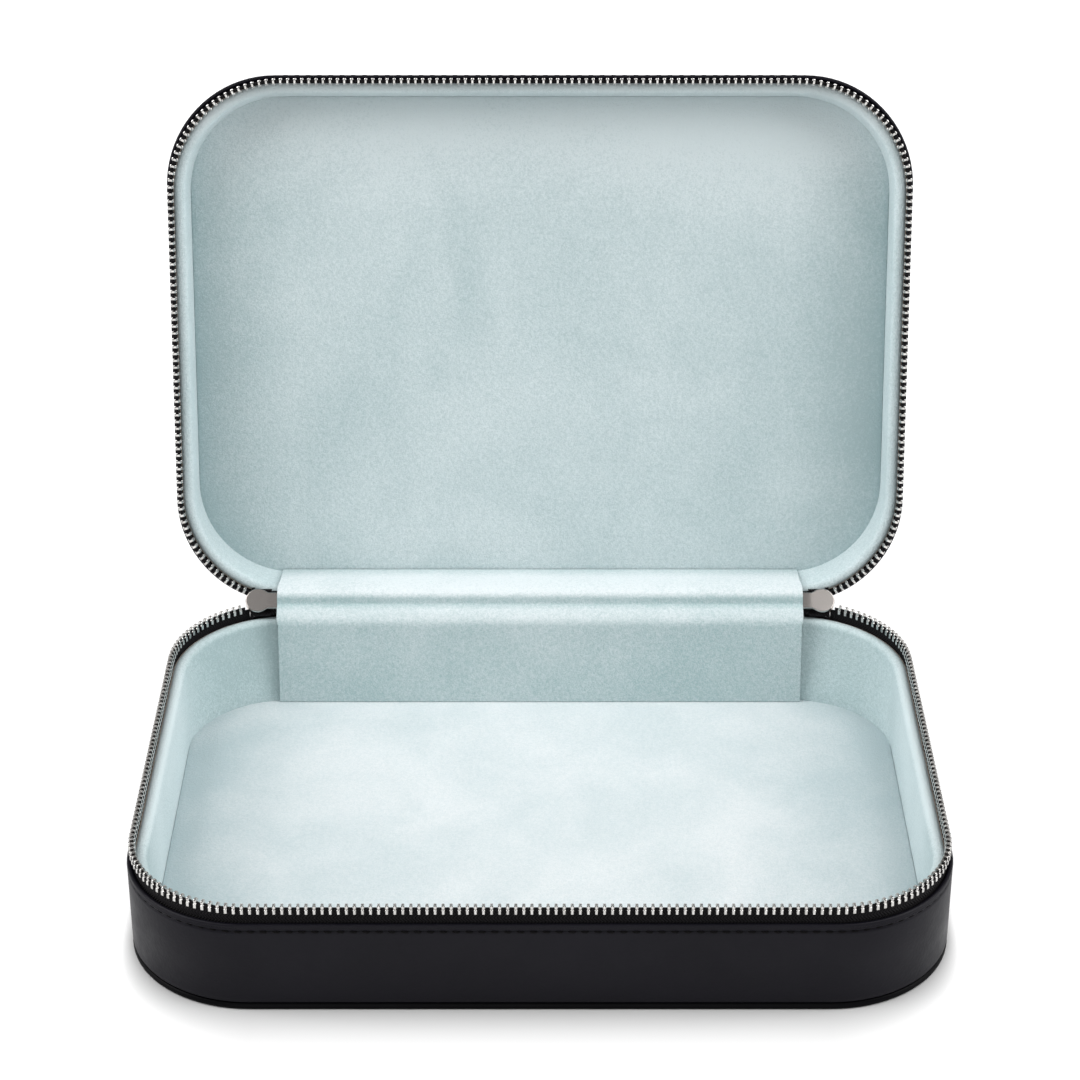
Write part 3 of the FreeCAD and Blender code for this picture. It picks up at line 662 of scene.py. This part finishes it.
def makePanel(half, node):
    roll, lip, inset = panel["roll"], panel["lip"], half.wallInset(half.face)
    points = [(roll, 0), (0.33 * roll, 0.06 * lip), (0.05 * roll, 0.25 * lip), (0, 0.5 * lip),
              (0.12 * roll, 0.76 * lip), (0.5 * roll, 0.96 * lip), (1.6 * roll, lip)]
    section = [(across + inset, half.face + half.away * up) for across, up in points]
    piece = plateFromSection(f"{half.body}HidePanel", caseOutline, section)
    finishPiece(piece, half.body, "blackHide", node, half.turn)
    # the rolled edge faces take the darker edge finish: painted shade at the seam
    addSecondFinish(piece, "blackHideEdge", lambda side: len(side.vertices) == 4)


makePanel(baseHalf, "base_bottom_panel")
makePanel(lidHalf, "lid_top_panel")
print("leather walls and panels")

# stitches along both hems, left out under the spine
stitch = {"pitch": 3.2 * mm, "length": 2.4 * mm, "radius": 0.38 * mm, "sink": 0.3 * mm, "lean": 0.12,
          "spineHalf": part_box("hinge_spine")[1].x + 1.5 * mm}


def stitchModel():
    clearSelection()
    bpy.ops.mesh.primitive_cylinder_add(vertices=6, radius=stitch["radius"], depth=stitch["length"] / 2)
    piece = startEdit("stitch")
    for sign in (1, -1):
        pick(piece, "faces", lambda face: face.normal.z * sign > 0.9)
        extrudeBy(0, 0, sign * stitch["length"] / 4)
        resizeBy(0.5, 0.5, 1)
        moveBy(0, stitch["radius"], 0)
    leaveEdit()
    piece.data.transform(Matrix.Rotation(stitch["lean"], 4, "Y") @ Matrix.Rotation(math.pi / 2, 4, "Y"))
    return piece


for half in halves:
    height = half.rim - half.away * hideWall["stitchDrop"]
    row = smaller(caseOutline, half.wallInset(height) + stitch["sink"])
    places = placesAlong(row, height, stitch["pitch"] / 2, stitch["pitch"], stitch["spineHalf"])
    stitches = copiesAt(f"{half.body}Stitches", stitchModel(), places)
    finishPiece(stitches, half.body, "blackThread", None, half.turn, sharp=60)
print("stitches")

# zip tapes, with a corded edge that the teeth grip, cut back round the sliders
zipTape = {
    "middle": 1.5 * mm, "thin": 0.25 * mm, "hold": 7.0 * mm,
    "cord": 0.5 * mm, "edgeDrop": 0.5 * mm, "chainRise": 0.5 * mm,
    "endAt": 62.0 * mm, "mouthAt": 86.5 * mm, "mouthStep": 1.25 * mm, "clear": 0.5 * mm,
    "lipBelow": 0.9 * mm, "lipAbove": 1.4 * mm,
}
chain = smaller(caseOutline, zipTape["middle"])
chainHeight = zipHeight + zipTape["chainRise"]
behind = 1.1 * caseOutline.back
tapeCuts = (
    (zipTape["endAt"], 0.0, lidTop),
    (zipTape["mouthAt"] - zipTape["mouthStep"], baseTop + zipTape["clear"], lidRim - zipTape["clear"]),
    (zipTape["mouthAt"], zipHeight - zipTape["lipBelow"], chainHeight + zipTape["lipAbove"]),
)


def tapeSection(half):
    thin, cord = zipTape["thin"], zipTape["cord"]
    edge = chainHeight - half.away * zipTape["edgeDrop"]
    cordSide = ((thin, 1.7), (0.85 * cord, 1.2), (cord, 0.7), (0.7 * cord, 0.15))
    side = [(thin, half.rim - half.away * zipTape["hold"]), (thin, half.rim)]
    side += [(across, edge - half.away * drop * cord) for across, drop in cordSide]
    points = [(-across, height) for across, height in side] + [(0, edge)] + side[::-1]
    return [(zipTape["middle"] + across + max(half.wallInset(height), 0.0), height)
            for across, height in points]


for half in halves:
    tape = ringFromSection(f"{half.body}ZipTape", caseOutline, tapeSection(half))
    for reach, low, high in tapeCuts:
        cutBox(tape, Vector((-reach, 0, low)), Vector((reach, behind, high)))
    editPiece(tape)
    pick(tape, "faces", lambda face: len(face.verts) > 4)
    bpy.ops.mesh.quads_convert_to_tris(ngon_method="CLIP")      # the notched faces
    leaveEdit()
    unwrapTape(tape, lambda point: lengthAlong(chain, point))
    finishPiece(tape, half.body, "zipTape", f"{half.body}_zip_tape", half.turn)
print("zip tapes")

# zip teeth: a flat chamfered leg, a neck and a cupped head; a station is (height in mm, length, width)
tooth = {
    "pitch": 2.0 * mm,
    "legHalf": 0.41 * mm, "legAcross": 0.92 * mm, "legFoot": -1.9 * mm, "chamfer": 0.14 * mm,
    "stations": ((-0.72, 1.0, 1.0), (-0.58, 0.72, 0.72), (-0.44, 0.9, 0.74), (-0.13, 1.04, 0.8),
                 (0.18, 1.02, 0.74), (0.46, 0.76, 0.5)),
    "cup": 0.16 * mm, "cupRim": 0.056 * mm,
}
upsideDown = Matrix.Rotation(math.pi, 4, "X")


def toothModel():
    clearSelection()
    bpy.ops.mesh.primitive_cube_add(size=2)
    piece = startEdit("tooth")
    stations = tooth["stations"]
    legTop, legFoot = stations[0][0] * mm, tooth["legFoot"]
    legHalfHeight = (legTop - legFoot) / 2
    resizeBy(tooth["legHalf"], tooth["legAcross"], legHalfHeight)
    moveBy(0, 0, (legTop + legFoot) / 2)
    pick(piece, "edges", lambda edge: abs(edge.verts[0].co.z - edge.verts[1].co.z) > legHalfHeight)
    bpy.ops.mesh.bevel(offset=tooth["chamfer"], segments=1, affect="EDGES")
    pick(piece, "faces", lambda face: face.normal.z > 0.9)
    for (height, along, across), (nextHeight, nextAlong, nextAcross) in zip(stations, stations[1:]):
        extrudeBy(0, 0, (nextHeight - height) * mm)
        resizeBy(nextAlong / along, nextAcross / across, 1)
    bpy.ops.mesh.inset(thickness=tooth["cupRim"], depth=-tooth["cup"])
    leaveEdit()
    return piece


teethFrom = zipTape["mouthAt"] + 0.2 * tooth["legHalf"]
for half, first, flip in ((baseHalf, 0.0, asBuilt), (lidHalf, tooth["pitch"] / 2, upsideDown)):
    places = placesAlong(chain, chainHeight, first, tooth["pitch"], teethFrom, flip)
    teeth = copiesAt(f"{half.body}ZipTeeth", toothModel(), places)
    finishPiece(teeth, half.body, "nickelTeeth", f"{half.body}_zip_teeth", half.turn, sharp=35)
print("zip teeth")

# linings: a soft roll over the rim, then the leaning wall
lining = {
    "rollOutside": 1.95 * mm, "rollHeight": 0.5 * mm,
    "thickness": 0.9 * mm, "wallSteps": 6,
    "wallLean": 0.3 * mm, "backLean": 7.0 * mm, "lidEndLean": 1.7 * mm, "lidSideLean": 0.4 * mm,
    "floorRadius": 25.0 * mm, "floorHeight": 2.2 * mm, "floorTuck": 1.4 * mm,
    "padRadius": 24.0 * mm, "padDepth": 14.4 * mm, "padTuck": 2.5 * mm,
}
mouth = smaller(caseOutline, caseShape["liningInset"])
floorOutline = Outline(mouth.halfWidth - lining["wallLean"], mouth.front - lining["wallLean"],
                       mouth.back - lining["backLean"], lining["floorRadius"])
padOutline = Outline(mouth.halfWidth - lining["lidSideLean"], mouth.front - lining["lidEndLean"],
                     mouth.back - lining["lidEndLean"], lining["padRadius"])
padFace = zipHeight + lining["padDepth"]


def rollSection(half):
    out = lining["rollOutside"]
    wide = caseShape["liningInset"] - out
    points = [(0.02, -2.6), (0.0, -0.9), (0.04, 0.0), (0.15, 0.62), (0.33, 0.95), (0.52, 0.9),
              (0.72, 0.45), (0.87, -0.45), (0.97, -1.8), (1.0, -3.2)]
    return [(out + across * wide, half.rim + half.away * up * lining["rollHeight"]) for across, up in points]


def blendOutline(first, second, share):
    return Outline(*(a + (b - a) * share for a, b in zip(first, second)))


def makeLining(half, bottomOutline, padLevel, bottom, finish):
    section = rollSection(half)
    piece = tracedPlate(f"{half.body}WallLining", caseOutline, section)
    steps = lining["wallSteps"]
    for index in range(steps):
        carryTo(blendOutline(mouth, bottomOutline, index / steps),
                blendOutline(mouth, bottomOutline, (index + 1) / steps), (padLevel - section[-1][1]) / steps)
    extrudeBy(0, 0, bottom - padLevel)
    dropCaps(piece)
    alignNormals(inside=half.away > 0)
    leaveEdit()
    applyModifier(piece, "SOLIDIFY", thickness=lining["thickness"], offset=half.away)
    finishPiece(piece, half.body, finish, f"{half.body}_wall_lining", half.turn, sharp=60)


makeLining(baseHalf, floorOutline, lining["floorHeight"] + lining["floorTuck"], lining["floorHeight"],
           "wallVelvet")
makeLining(lidHalf, padOutline, padFace, padFace + lining["padTuck"], "lidVelvet")
print("linings")

# padded panels, blown up a little like foam under tight cloth
floorPad = {"gap": 0.08 * mm, "low": 2.65 * mm, "edge": 1.0 * mm, "crown": 0.7 * mm}
lidPad = {"gap": 0.03 * mm, "back": 3.4 * mm, "crown": 1.4 * mm}
foam = {"pressure": 3.0, "frames": 14, "swell": 0.3, "grid": 7.0 * mm, "sewnBelow": 0.02 * mm,
        "shoulder": (0.2 * mm, 1.6 * mm, 4.5 * mm, 10.0 * mm)}
coverCloth = {"quality": 6, "mass": 0.15, "tension_stiffness": 40, "compression_stiffness": 40,
              "bending_stiffness": 2.0, "use_pressure": True, "uniform_pressure_force": foam["pressure"]}


def padPlate(name, away, outline, base, face, crown):
    first, second, third, last = foam["shoulder"]
    return tracedPlate(name, outline, [
        (0, base), (0, face - away * first), (0.3 * first, face - away * 0.3 * first), (first, face),
        (second, face + away * 0.2 * crown), (third, face + away * 0.45 * crown),
        (last, face + away * 0.7 * crown)])


def gridCuts(outline):
    for normal, low, high in (((1, 0, 0), -outline.halfWidth, outline.halfWidth),
                              ((0, 1, 0), -outline.front, outline.back)):
        cutAcross(normal, low, high, round((high - low) / foam["grid"]))


def blowUp(piece, face, away, limit):
    rest = [vertex.co.copy() for vertex in piece.data.vertices]
    sewn = piece.vertex_groups.new(name="sewn")
    sewn.add([i for i, co in enumerate(rest) if (co.z - face) * away < foam["sewnBelow"]], 1.0, "REPLACE")
    cover = piece.modifiers.new("Cover", "CLOTH")
    setValues(cover.settings, coverCloth)
    cover.settings.vertex_group_mass = sewn.name
    cover.settings.effector_weights.gravity = 0.0
    scene = bpy.context.scene
    for number in range(1, foam["frames"] + 1):
        scene.frame_set(number)
    blown = piece.evaluated_get(bpy.context.evaluated_depsgraph_get()).data
    lifts = [max((after.co.z - co.z) * away, 0.0) for after, co in zip(blown.vertices, rest)]
    piece.modifiers.remove(cover)
    scene.frame_set(1)
    share = min(1.0, limit / max(*lifts, 1e-9))
    for vertex, co, lift in zip(piece.data.vertices, rest, lifts):
        vertex.co = co + Vector((0, 0, away * lift * share))
    piece.vertex_groups.remove(sewn)


def makePad(name, half, outline, base, face, crown, finish, node):
    piece = padPlate(name, half.away, outline, base, face, crown)
    gridCuts(outline)
    leaveEdit()
    blowUp(piece, face, half.away, foam["swell"] * crown)
    finishPiece(piece, half.body, finish, node, half.turn, sharp=60)


makePad("floorPad", baseHalf, smaller(floorOutline, floorPad["gap"]), floorPad["low"],
        floorPad["low"] + floorPad["edge"], floorPad["crown"], "floorVelvet", "base_floor_pad")
makePad("lidPad", lidHalf, smaller(padOutline, lidPad["gap"]), padFace + lidPad["back"], padFace,
        lidPad["crown"], "padVelvet", "lid_pad")
print("pads")

# the velvet flap over the hinge; route points are (y, z) in mm
flap = {
    "halfWidth": 76.6 * mm, "thickness": 0.8 * mm, "across": 24,
    "route": ((64.0, 3.9), (65.6, 11.0), (67.2, 18.5), (68.6, 25.6), (68.9, 27.3), (69.5, 28.5),
              (70.6, 29.5), (72.0, 30.3), (73.2, 30.8), (73.9, 31.1), (74.2, 31.9), (74.4, 33.0),
              (74.9, 34.0), (76.2, 34.6), (78.2, 34.75), (81.0, 34.6), (84.5, 34.1), (88.0, 33.4),
              (91.0, 32.9)),
    "flareFrom": 69.0 * mm, "flareTo": 79.0 * mm, "flare": 1.006,
    "bendFrom": (0, 71.5 * mm, 29.0 * mm), "bendTo": (0, 80.5 * mm, 34.0 * mm),
}


def stripAlong(name, halfWidth, route, across):
    clearSelection()
    bpy.ops.mesh.primitive_plane_add(size=2)
    piece = startEdit(name)
    pick(piece, "verts", lambda vert: vert.co.y > 0)
    bpy.ops.mesh.delete(type="VERT")
    selectAll()
    resizeBy(halfWidth, 1, 1)
    startY, startZ = route[0]
    moveBy(0, startY * mm + 1, startZ * mm)
    for (y, z), (nextY, nextZ) in zip(route, route[1:]):
        extrudeEdgesBy(0, (nextY - y) * mm, (nextZ - z) * mm)
    cutAcross((1, 0, 0), -halfWidth, halfWidth, across)
    return piece


def makeFlap():
    route = flap["route"]
    piece = stripAlong("hingeFlap", flap["halfWidth"], route, flap["across"])
    pick(piece, "verts", lambda vert: flap["flareFrom"] < vert.co.y < flap["flareTo"])
    resizeBy(flap["flare"], 1, 1)
    alignNormals()
    leaveEdit()
    applyModifier(piece, "SUBSURF", levels=2, render_levels=2, boundary_smooth="PRESERVE_CORNERS")
    applyModifier(piece, "SOLIDIFY", thickness=flap["thickness"], offset=0.0)
    finishPiece(piece, None, "flapVelvet", "hinge_flap", asBuilt, sharp=50)
    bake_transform(piece)


# the leather spine behind it
spine = {"halfWidth": 69.0 * mm, "thickness": 1.0 * mm, "across": 8,
         "overlap": 12.0 * mm, "clear": 0.05 * mm, "fold": 2.2 * mm, "rounding": 0.25 * mm}


def makeSpine():
    face = caseOutline.back + spine["clear"] + spine["thickness"] / 2
    low, high = baseTop - spine["overlap"], lidRim + spine["overlap"]
    baseFar = Vector((0, face, low))
    lidNear = lidTurn @ Vector((0, face, lidRim))
    lidFar = lidTurn @ Vector((0, face - lidInset(high), high))
    along = (lidFar - lidNear).normalized()
    corner = lidNear + along * ((face - lidNear.y) / along.y)
    before, after = corner - Vector((0, 0, spine["fold"])), corner + along * spine["fold"]
    bend = (before + after) / 4 + corner / 2
    points = [baseFar, (baseFar + before) / 2, before, bend, after, (after + lidFar) / 2, lidFar]
    route = [(point.y / mm, point.z / mm) for point in points]
    piece = stripAlong("hingeSpine", spine["halfWidth"], route, spine["across"])
    alignNormals()
    leaveEdit()
    applyModifier(piece, "SOLIDIFY", thickness=spine["thickness"], offset=0.0)
    roundEdges(piece, spine["rounding"], segments=2, angle=60)
    finishPiece(piece, None, "blackHide", "hinge_spine", asBuilt, sharp=50)
    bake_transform(piece)


makeFlap()
makeSpine()
print("flap and spine")

# the zip ends, modelled shut about the hinge line, with the mouth towards +X and the outside towards +Y
slider = {
    "at": 81.5 * mm, "length": 10.0 * mm, "gap": 2.5 * mm,
    "headRadius": 3.7 * mm, "backRadius": 3.5 * mm, "headSteps": 40, "headShare": 1.55,
    "neck": 0.9 * mm, "waist": 0.83, "tailHalf": 2.5 * mm,
    "plate": 0.7 * mm, "rounding": 0.28 * mm,
    "flange": 0.5 * mm, "flangeFrom": 0.1 * mm, "flangeTo": 0.2 * mm,
    "flangeAcross": (1.2, 0.4), "flangeRounding": 0.1 * mm,
    "wedgeFrom": 2.3 * mm, "wedgeTo": 4.4 * mm, "wedgeHalf": 0.7 * mm, "wedgeRounding": 0.3 * mm,
    "bailRadius": 2.8 * mm, "bailBar": 0.8 * mm, "bailHeight": 3.6 * mm,
    "bailSink": 0.2 * mm, "bailSteps": 14,
}


def sliderPlate(name, near, outward, radius):
    end, neck = slider["length"] / 2, slider["neck"]
    tailStart = end - slider["headShare"] * radius
    clearSelection()
    bpy.ops.mesh.primitive_circle_add(vertices=slider["headSteps"], radius=radius, fill_type="NGON",
                                      rotation=(math.pi / 2, 0, 0))
    piece = startEdit(name)
    moveBy(end - radius, near, 0)
    pick(piece, "verts", lambda vert: vert.co.x < tailStart)
    resizeBy(0, 1, slider["waist"], (tailStart - neck, near, 0))
    pick(piece, "verts", lambda vert: vert.co.x < tailStart - neck / 2)
    extrudeEdgesBy(neck - end - tailStart, 0, 0)
    mergeDoubles()
    alignNormals()
    bpy.ops.mesh.dissolve_limited(angle_limit=math.radians(1))
    selectAll("FACE")
    extrudeBy(0, outward * slider["plate"], 0)
    alignNormals()
    leaveEdit()
    roundEdges(piece, slider["rounding"], segments=3, angle=50)
    return piece


def sliderBail():
    bar, radius, sink = slider["bailBar"], slider["bailRadius"], slider["bailSink"]
    foot = slider["gap"] / 2 + slider["plate"]
    rise = slider["bailHeight"] - radius - bar / 2
    clearSelection()
    bpy.ops.mesh.primitive_plane_add(size=bar, rotation=(-math.pi / 2, 0, 0))
    piece = startEdit("bail")
    bpy.ops.mesh.bevel(offset=0.2 * bar, segments=2, affect="VERTICES")
    selectAll("FACE")
    moveBy(radius, foot - sink, 0)
    extrudeBy(0, rise + sink, 0)
    bpy.ops.mesh.spin(steps=slider["bailSteps"], angle=-math.pi, center=(0, foot + rise, 0), axis=(0, 0, 1))
    extrudeBy(0, -rise - sink, 0)
    leaveEdit()
    return piece


def makeSlider(side, place):
    gapHalf, end, tail = slider["gap"] / 2, slider["length"] / 2, slider["tailHalf"]
    parts = [sliderPlate("outerPlate", gapHalf, 1, slider["backRadius"]),
             sliderPlate("innerPlate", -gapHalf, -1, slider["headRadius"])]
    deep, shallow = (share * gapHalf for share in slider["flangeAcross"])
    for upward in (1, -1):
        for outward in (1, -1):
            parts.append(barAcross(
                "flange", (-end + slider["flangeFrom"], outward * deep, upward * tail),
                (slider["flangeTo"], outward * shallow, upward * (tail - slider["flange"])),
                slider["flangeRounding"]))
    parts.append(barAcross("wedge", (slider["wedgeFrom"], -gapHalf, -slider["wedgeHalf"]),
                           (slider["wedgeTo"], gapHalf, slider["wedgeHalf"]), slider["wedgeRounding"]))
    parts.append(sliderBail())
    piece = joinPieces(f"zipSlider.{side}", parts)
    finishPiece(piece, f"slider_{side}", "nickelPlate", f"zip_slider_{side}", place, sharp=15)
    # rims, sides, wedge and bail take the brighter teeth nickel: a painted highlight round the plates' edges
    facing = place.to_3x3() @ Vector((0, 1, 0))
    addSecondFinish(piece, "nickelTeeth", lambda face: abs(face.normal.dot(facing)) < 0.95)


pull = {
    "ring": 1.5 * mm, "wire": 0.35 * mm, "split": 0.25 * mm,
    "play": 0.05 * mm, "bailReach": 0.602 * mm,
    "length": 19.0 * mm, "neck": 2.1 * mm, "halfWidth": 2.8 * mm, "thickness": 1.0 * mm,
    "eye": 1.1 * mm, "eyeMargin": 1.75 * mm,
    "corner": 1.5 * mm, "rounding": 0.2 * mm,
    "panelAt": -3.4 * mm, "panelEdge": 0.7 * mm, "panelDepth": 0.15 * mm,
}


def makeRing(side, place):
    clearSelection()
    bpy.ops.mesh.primitive_torus_add(major_radius=pull["ring"], minor_radius=pull["wire"],
                                     major_segments=28, minor_segments=10, rotation=(0, math.pi / 2, 0))
    piece = startEdit(f"pullRing.{side}")
    pick(piece, "faces", lambda face: face.calc_center_median().y > 0
         and 0 < face.calc_center_median().z < pull["split"])
    bpy.ops.mesh.delete(type="FACE")
    fillRims()
    leaveEdit()
    finishPiece(piece, f"pull_{side}", "nickelTeeth", f"pull_ring_{side}", place, sharp=60)


def makeTab(side, place):
    thick, length, panelAt = pull["thickness"], pull["length"], pull["panelAt"]
    clearSelection()
    bpy.ops.mesh.primitive_plane_add(size=2, rotation=(math.pi / 2, 0, 0))
    piece = startEdit(f"pullTab.{side}")
    resizeBy(pull["halfWidth"], 1, length / 2)
    moveBy(0, thick / 2, pull["eyeMargin"] - length / 2)
    pick(piece, "verts", lambda vert: vert.co.z > 0)
    resizeBy(pull["neck"] / pull["halfWidth"], 1, 1)
    selectAll()
    bpy.ops.mesh.bevel(offset=pull["corner"], segments=8, affect="VERTICES")
    selectAll("FACE")
    extrudeBy(0, -thick, 0)
    alignNormals()
    bpy.ops.mesh.bisect(plane_co=(0, 0, panelAt), plane_no=(0, 0, 1))
    pick(piece, "faces", lambda face: abs(face.normal.y) > 0.9 and face.calc_center_median().z < panelAt)
    bpy.ops.mesh.inset(thickness=pull["panelEdge"], depth=0)
    bpy.ops.mesh.inset(thickness=pull["panelDepth"], depth=-pull["panelDepth"])
    clearSelection()
    bpy.ops.mesh.primitive_cylinder_add(vertices=32, radius=pull["eye"], depth=4 * thick,
                                        rotation=(math.pi / 2, 0, 0))
    cutWith(piece, bpy.context.object)
    roundEdges(piece, pull["rounding"], segments=3, angle=60)
    finishPiece(piece, f"pull_{side}", "nickelPlate", f"pull_tab_{side}", place, sharp=15)


# stop, closed chain and tape; the tape reaches on between the slider's plates to its mouth and lip
zipEnd = {
    "stopAt": 71.0 * mm, "stopLength": 2.4 * mm, "stopDeep": 1.2 * mm, "stopTall": 2.4 * mm,
    "stopRounding": 0.35 * mm, "pinch": 0.25 * mm,
    "firstTooth": 73.05 * mm, "teeth": 7,
    "tapeTo": 81.0 * mm, "tapeLow": 1.2 * mm, "tapeHigh": 3.65 * mm, "tapeRounding": 0.04 * mm,
    "mouthFrom": 79.0 * mm, "mouthTo": 85.0 * mm, "mouthHigh": 4.25 * mm,
    "lipFrom": 84.05 * mm, "lipTo": 85.1 * mm, "lipHigh": 4.9 * mm,
}


def makeStop(side, place):
    at, reach = zipEnd["stopAt"], zipEnd["stopLength"] / 2
    deep, tall = zipEnd["stopDeep"], zipEnd["stopTall"]
    stop = barAcross(f"zipStop.{side}", (at - reach, -deep, -tall), (at + reach, deep, tall),
                     zipEnd["stopRounding"])
    editPiece(stop)
    pick(stop, "faces", lambda face: abs(face.normal.y) > 0.99)
    bpy.ops.mesh.inset(thickness=zipEnd["pinch"], depth=-zipEnd["pinch"])
    leaveEdit()
    finishPiece(stop, f"zip_end_{side}", "nickelTeeth", f"zip_stop_{side}", place)


def makeChainEnd(side, place):
    places = [Matrix.Translation((zipEnd["firstTooth"] + index * tooth["pitch"] / 2, 0, 0))
              @ (upsideDown if index % 2 else asBuilt) for index in range(zipEnd["teeth"])]
    teeth = copiesAt(f"zipChainEnd.{side}", toothModel(), places)
    finishPiece(teeth, f"zip_end_{side}", "nickelTeeth", f"zip_chain_end_{side}", place, sharp=35)


def makeTapeEnd(side, place):
    thin, low, rounding = zipTape["thin"], zipEnd["tapeLow"], zipEnd["tapeRounding"]
    stretches = ((zipTape["endAt"], zipEnd["tapeTo"], zipEnd["tapeHigh"], -thin),
                 (zipEnd["mouthFrom"], zipEnd["mouthTo"], zipEnd["mouthHigh"], -thin),
                 (zipEnd["lipFrom"], zipEnd["lipTo"], zipEnd["lipHigh"], thin / 2))
    strips = [barAcross("tapeStrip", (first, near, sign * low), (last, thin, sign * high), rounding)
              for sign in (1, -1) for first, last, high, near in stretches]
    tape = joinPieces(f"zipTapeEnd.{side}", strips)
    unwrapTape(tape, lambda point: point.x)
    finishPiece(tape, f"zip_end_{side}", "zipTape", f"zip_tape_end_{side}", place)


halfOpen = Matrix.Rotation(-openAngle / 2, 4, "X")
bailMiddle = slider["gap"] / 2 + slider["plate"] + slider["bailHeight"] - slider["bailBar"] / 2
ringInside = pull["ring"] - pull["wire"] - pull["play"]
ringHang = ringInside - pull["bailReach"]
tabDrop = ringInside + math.sqrt(pull["eye"] ** 2 - pull["wire"] ** 2)
for side, flip in (("left", math.pi), ("right", 0.0)):
    endPlace = atHinge @ (halfOpen @ Matrix.Rotation(flip, 4, "Y"))
    for makeEndPiece in (makeStop, makeChainEnd, makeTapeEnd):
        makeEndPiece(side, endPlace)
    sliderPlace = endPlace @ Matrix.Translation((slider["at"], 0, 0))
    makeSlider(side, sliderPlace)
    ringPoint = sliderPlace @ Vector((0, bailMiddle + ringHang, 0))
    makeRing(side, Matrix.Translation(ringPoint))
    makeTab(side, Matrix.Translation(ringPoint - Vector((0, 0, tabDrop))))
print("zip ends, sliders and pulls")

# floor, soft lights and camera; a lamp is (name, place, width, power)
white = (1.0, 1.0, 1.0, 1.0)
studio = {
    "floorSize": 8.0,
    "floorPaint": {"Base Color": (0.5, 0.5, 0.5, 1.0), "Roughness": 0.9, "Specular IOR Level": 0.0,
                   "Emission Color": white},
    "footprint": (caseOutline.halfWidth - caseOutline.radius, caseOutline.back - caseOutline.radius, 0.0),
    # shadeRuns, nearGlow and farGlow shape the painted shadow round the case
    "shadeRuns": (26 * mm, 3 * mm),      # in front and at the sides
    "nearGlow": (0.02, 0.66),
    "farGlow": (50 * mm, 200 * mm, 0.0, 0.2),      # from, to, glow at each
    "sky": (0.0, 0.9, 0.14, 0.46),
    "lamps": (("leftTop", (-0.68, -0.15, 0.92), 0.7, 5.8), ("rightTop", (0.6, -0.15, 0.96), 0.75, 5.8),
              ("leftSide", (-0.85, -0.12, 0.42), 0.5, 3.5), ("rightSide", (0.85, -0.12, 0.42), 0.5, 3.8),
              ("front", (0.0, -1.6, 0.4), 1.0, 4.5)),
    "target": Vector((0.0, 0.02, 0.06)),
}
view = {"place": (0.0, -0.6606, 0.4531), "pitch": 28.6, "lens": 96.21, "sensor": 36.0, "nearest": 0.01}


def seenDirectly(tree):
    rays = addNode(tree, "ShaderNodeLightPath").outputs
    seen = mathNode(tree, "MAXIMUM", rays["Is Camera Ray"], rays["Is Glossy Ray"])
    return mathNode(tree, "MAXIMUM", seen, rays["Is Transmission Ray"])


# the floor glows white away from the case; near its footprint the glow is dimmed over a longer reach in
# front than at the sides, which paints a shadow round the case on top of the real shade
def floorLook(tree, place):
    spot = vectorMath(tree, "SUBTRACT", vectorMath(tree, "ABSOLUTE", place)[0], studio["footprint"])[0]
    spot = vectorMath(tree, "MAXIMUM", spot)[0]
    away = vectorMath(tree, "LENGTH", spot)["Value"]
    sideways = mathNode(tree, "DIVIDE", axesOf(tree, spot)["X"], away)
    run = spread(tree, sideways, 0.0, 1.0, *studio["shadeRuns"])
    clear = mathNode(tree, "SUBTRACT", away, caseOutline.radius)
    nearGlow = spread(tree, mathNode(tree, "DIVIDE", clear, run), 0.0, 1.0, *studio["nearGlow"])
    farGlow = spread(tree, clear, *studio["farGlow"])
    glow = mathNode(tree, "MULTIPLY", seenDirectly(tree), mathNode(tree, "ADD", nearGlow, farGlow))
    return {"Emission Strength": glow, **studio["floorPaint"]}


def makeFloor():
    clearSelection()
    bpy.ops.mesh.primitive_plane_add(size=studio["floorSize"])
    floor = bpy.context.object
    floor.name = "studioFloor"
    floor.data.materials.append(newMaterial("studioFloor", floorLook))


def makeWorld():
    world = bpy.data.worlds.new("studio")
    world.use_nodes = True
    tree = world.node_tree
    aim = addNode(tree, "ShaderNodeTexCoord").outputs["Generated"]
    strength = spread(tree, axesOf(tree, aim)["Z"], *studio["sky"])
    plugIn(tree, tree.nodes["Background"], {"Color": white, "Strength": strength})
    bpy.context.scene.world = world


def placeInScene(name, data, place, turn):
    holder = bpy.data.objects.new(name, data)
    holder.location = place
    holder.rotation_euler = turn
    bpy.context.collection.objects.link(holder)
    return holder


def makeLamps():
    for name, place, width, power in studio["lamps"]:
        lamp = bpy.data.lights.new(name, "AREA")
        lamp.size = width
        lamp.energy = power
        aim = studio["target"] - Vector(place)
        placeInScene(name, lamp, place, aim.to_track_quat("-Z", "Y").to_euler())


def makeCamera():
    camera = bpy.data.cameras.new("camera")
    camera.lens = view["lens"]
    camera.sensor_width = view["sensor"]
    camera.clip_start = view["nearest"]
    tilt = math.radians(90 - view["pitch"])
    bpy.context.scene.camera = placeInScene("camera", camera, view["place"], (tilt, 0, 0))


makeFloor()
makeWorld()
makeLamps()
makeCamera()
bpy.context.scene.view_settings.view_transform = "Standard"
print("floor, lights and camera")
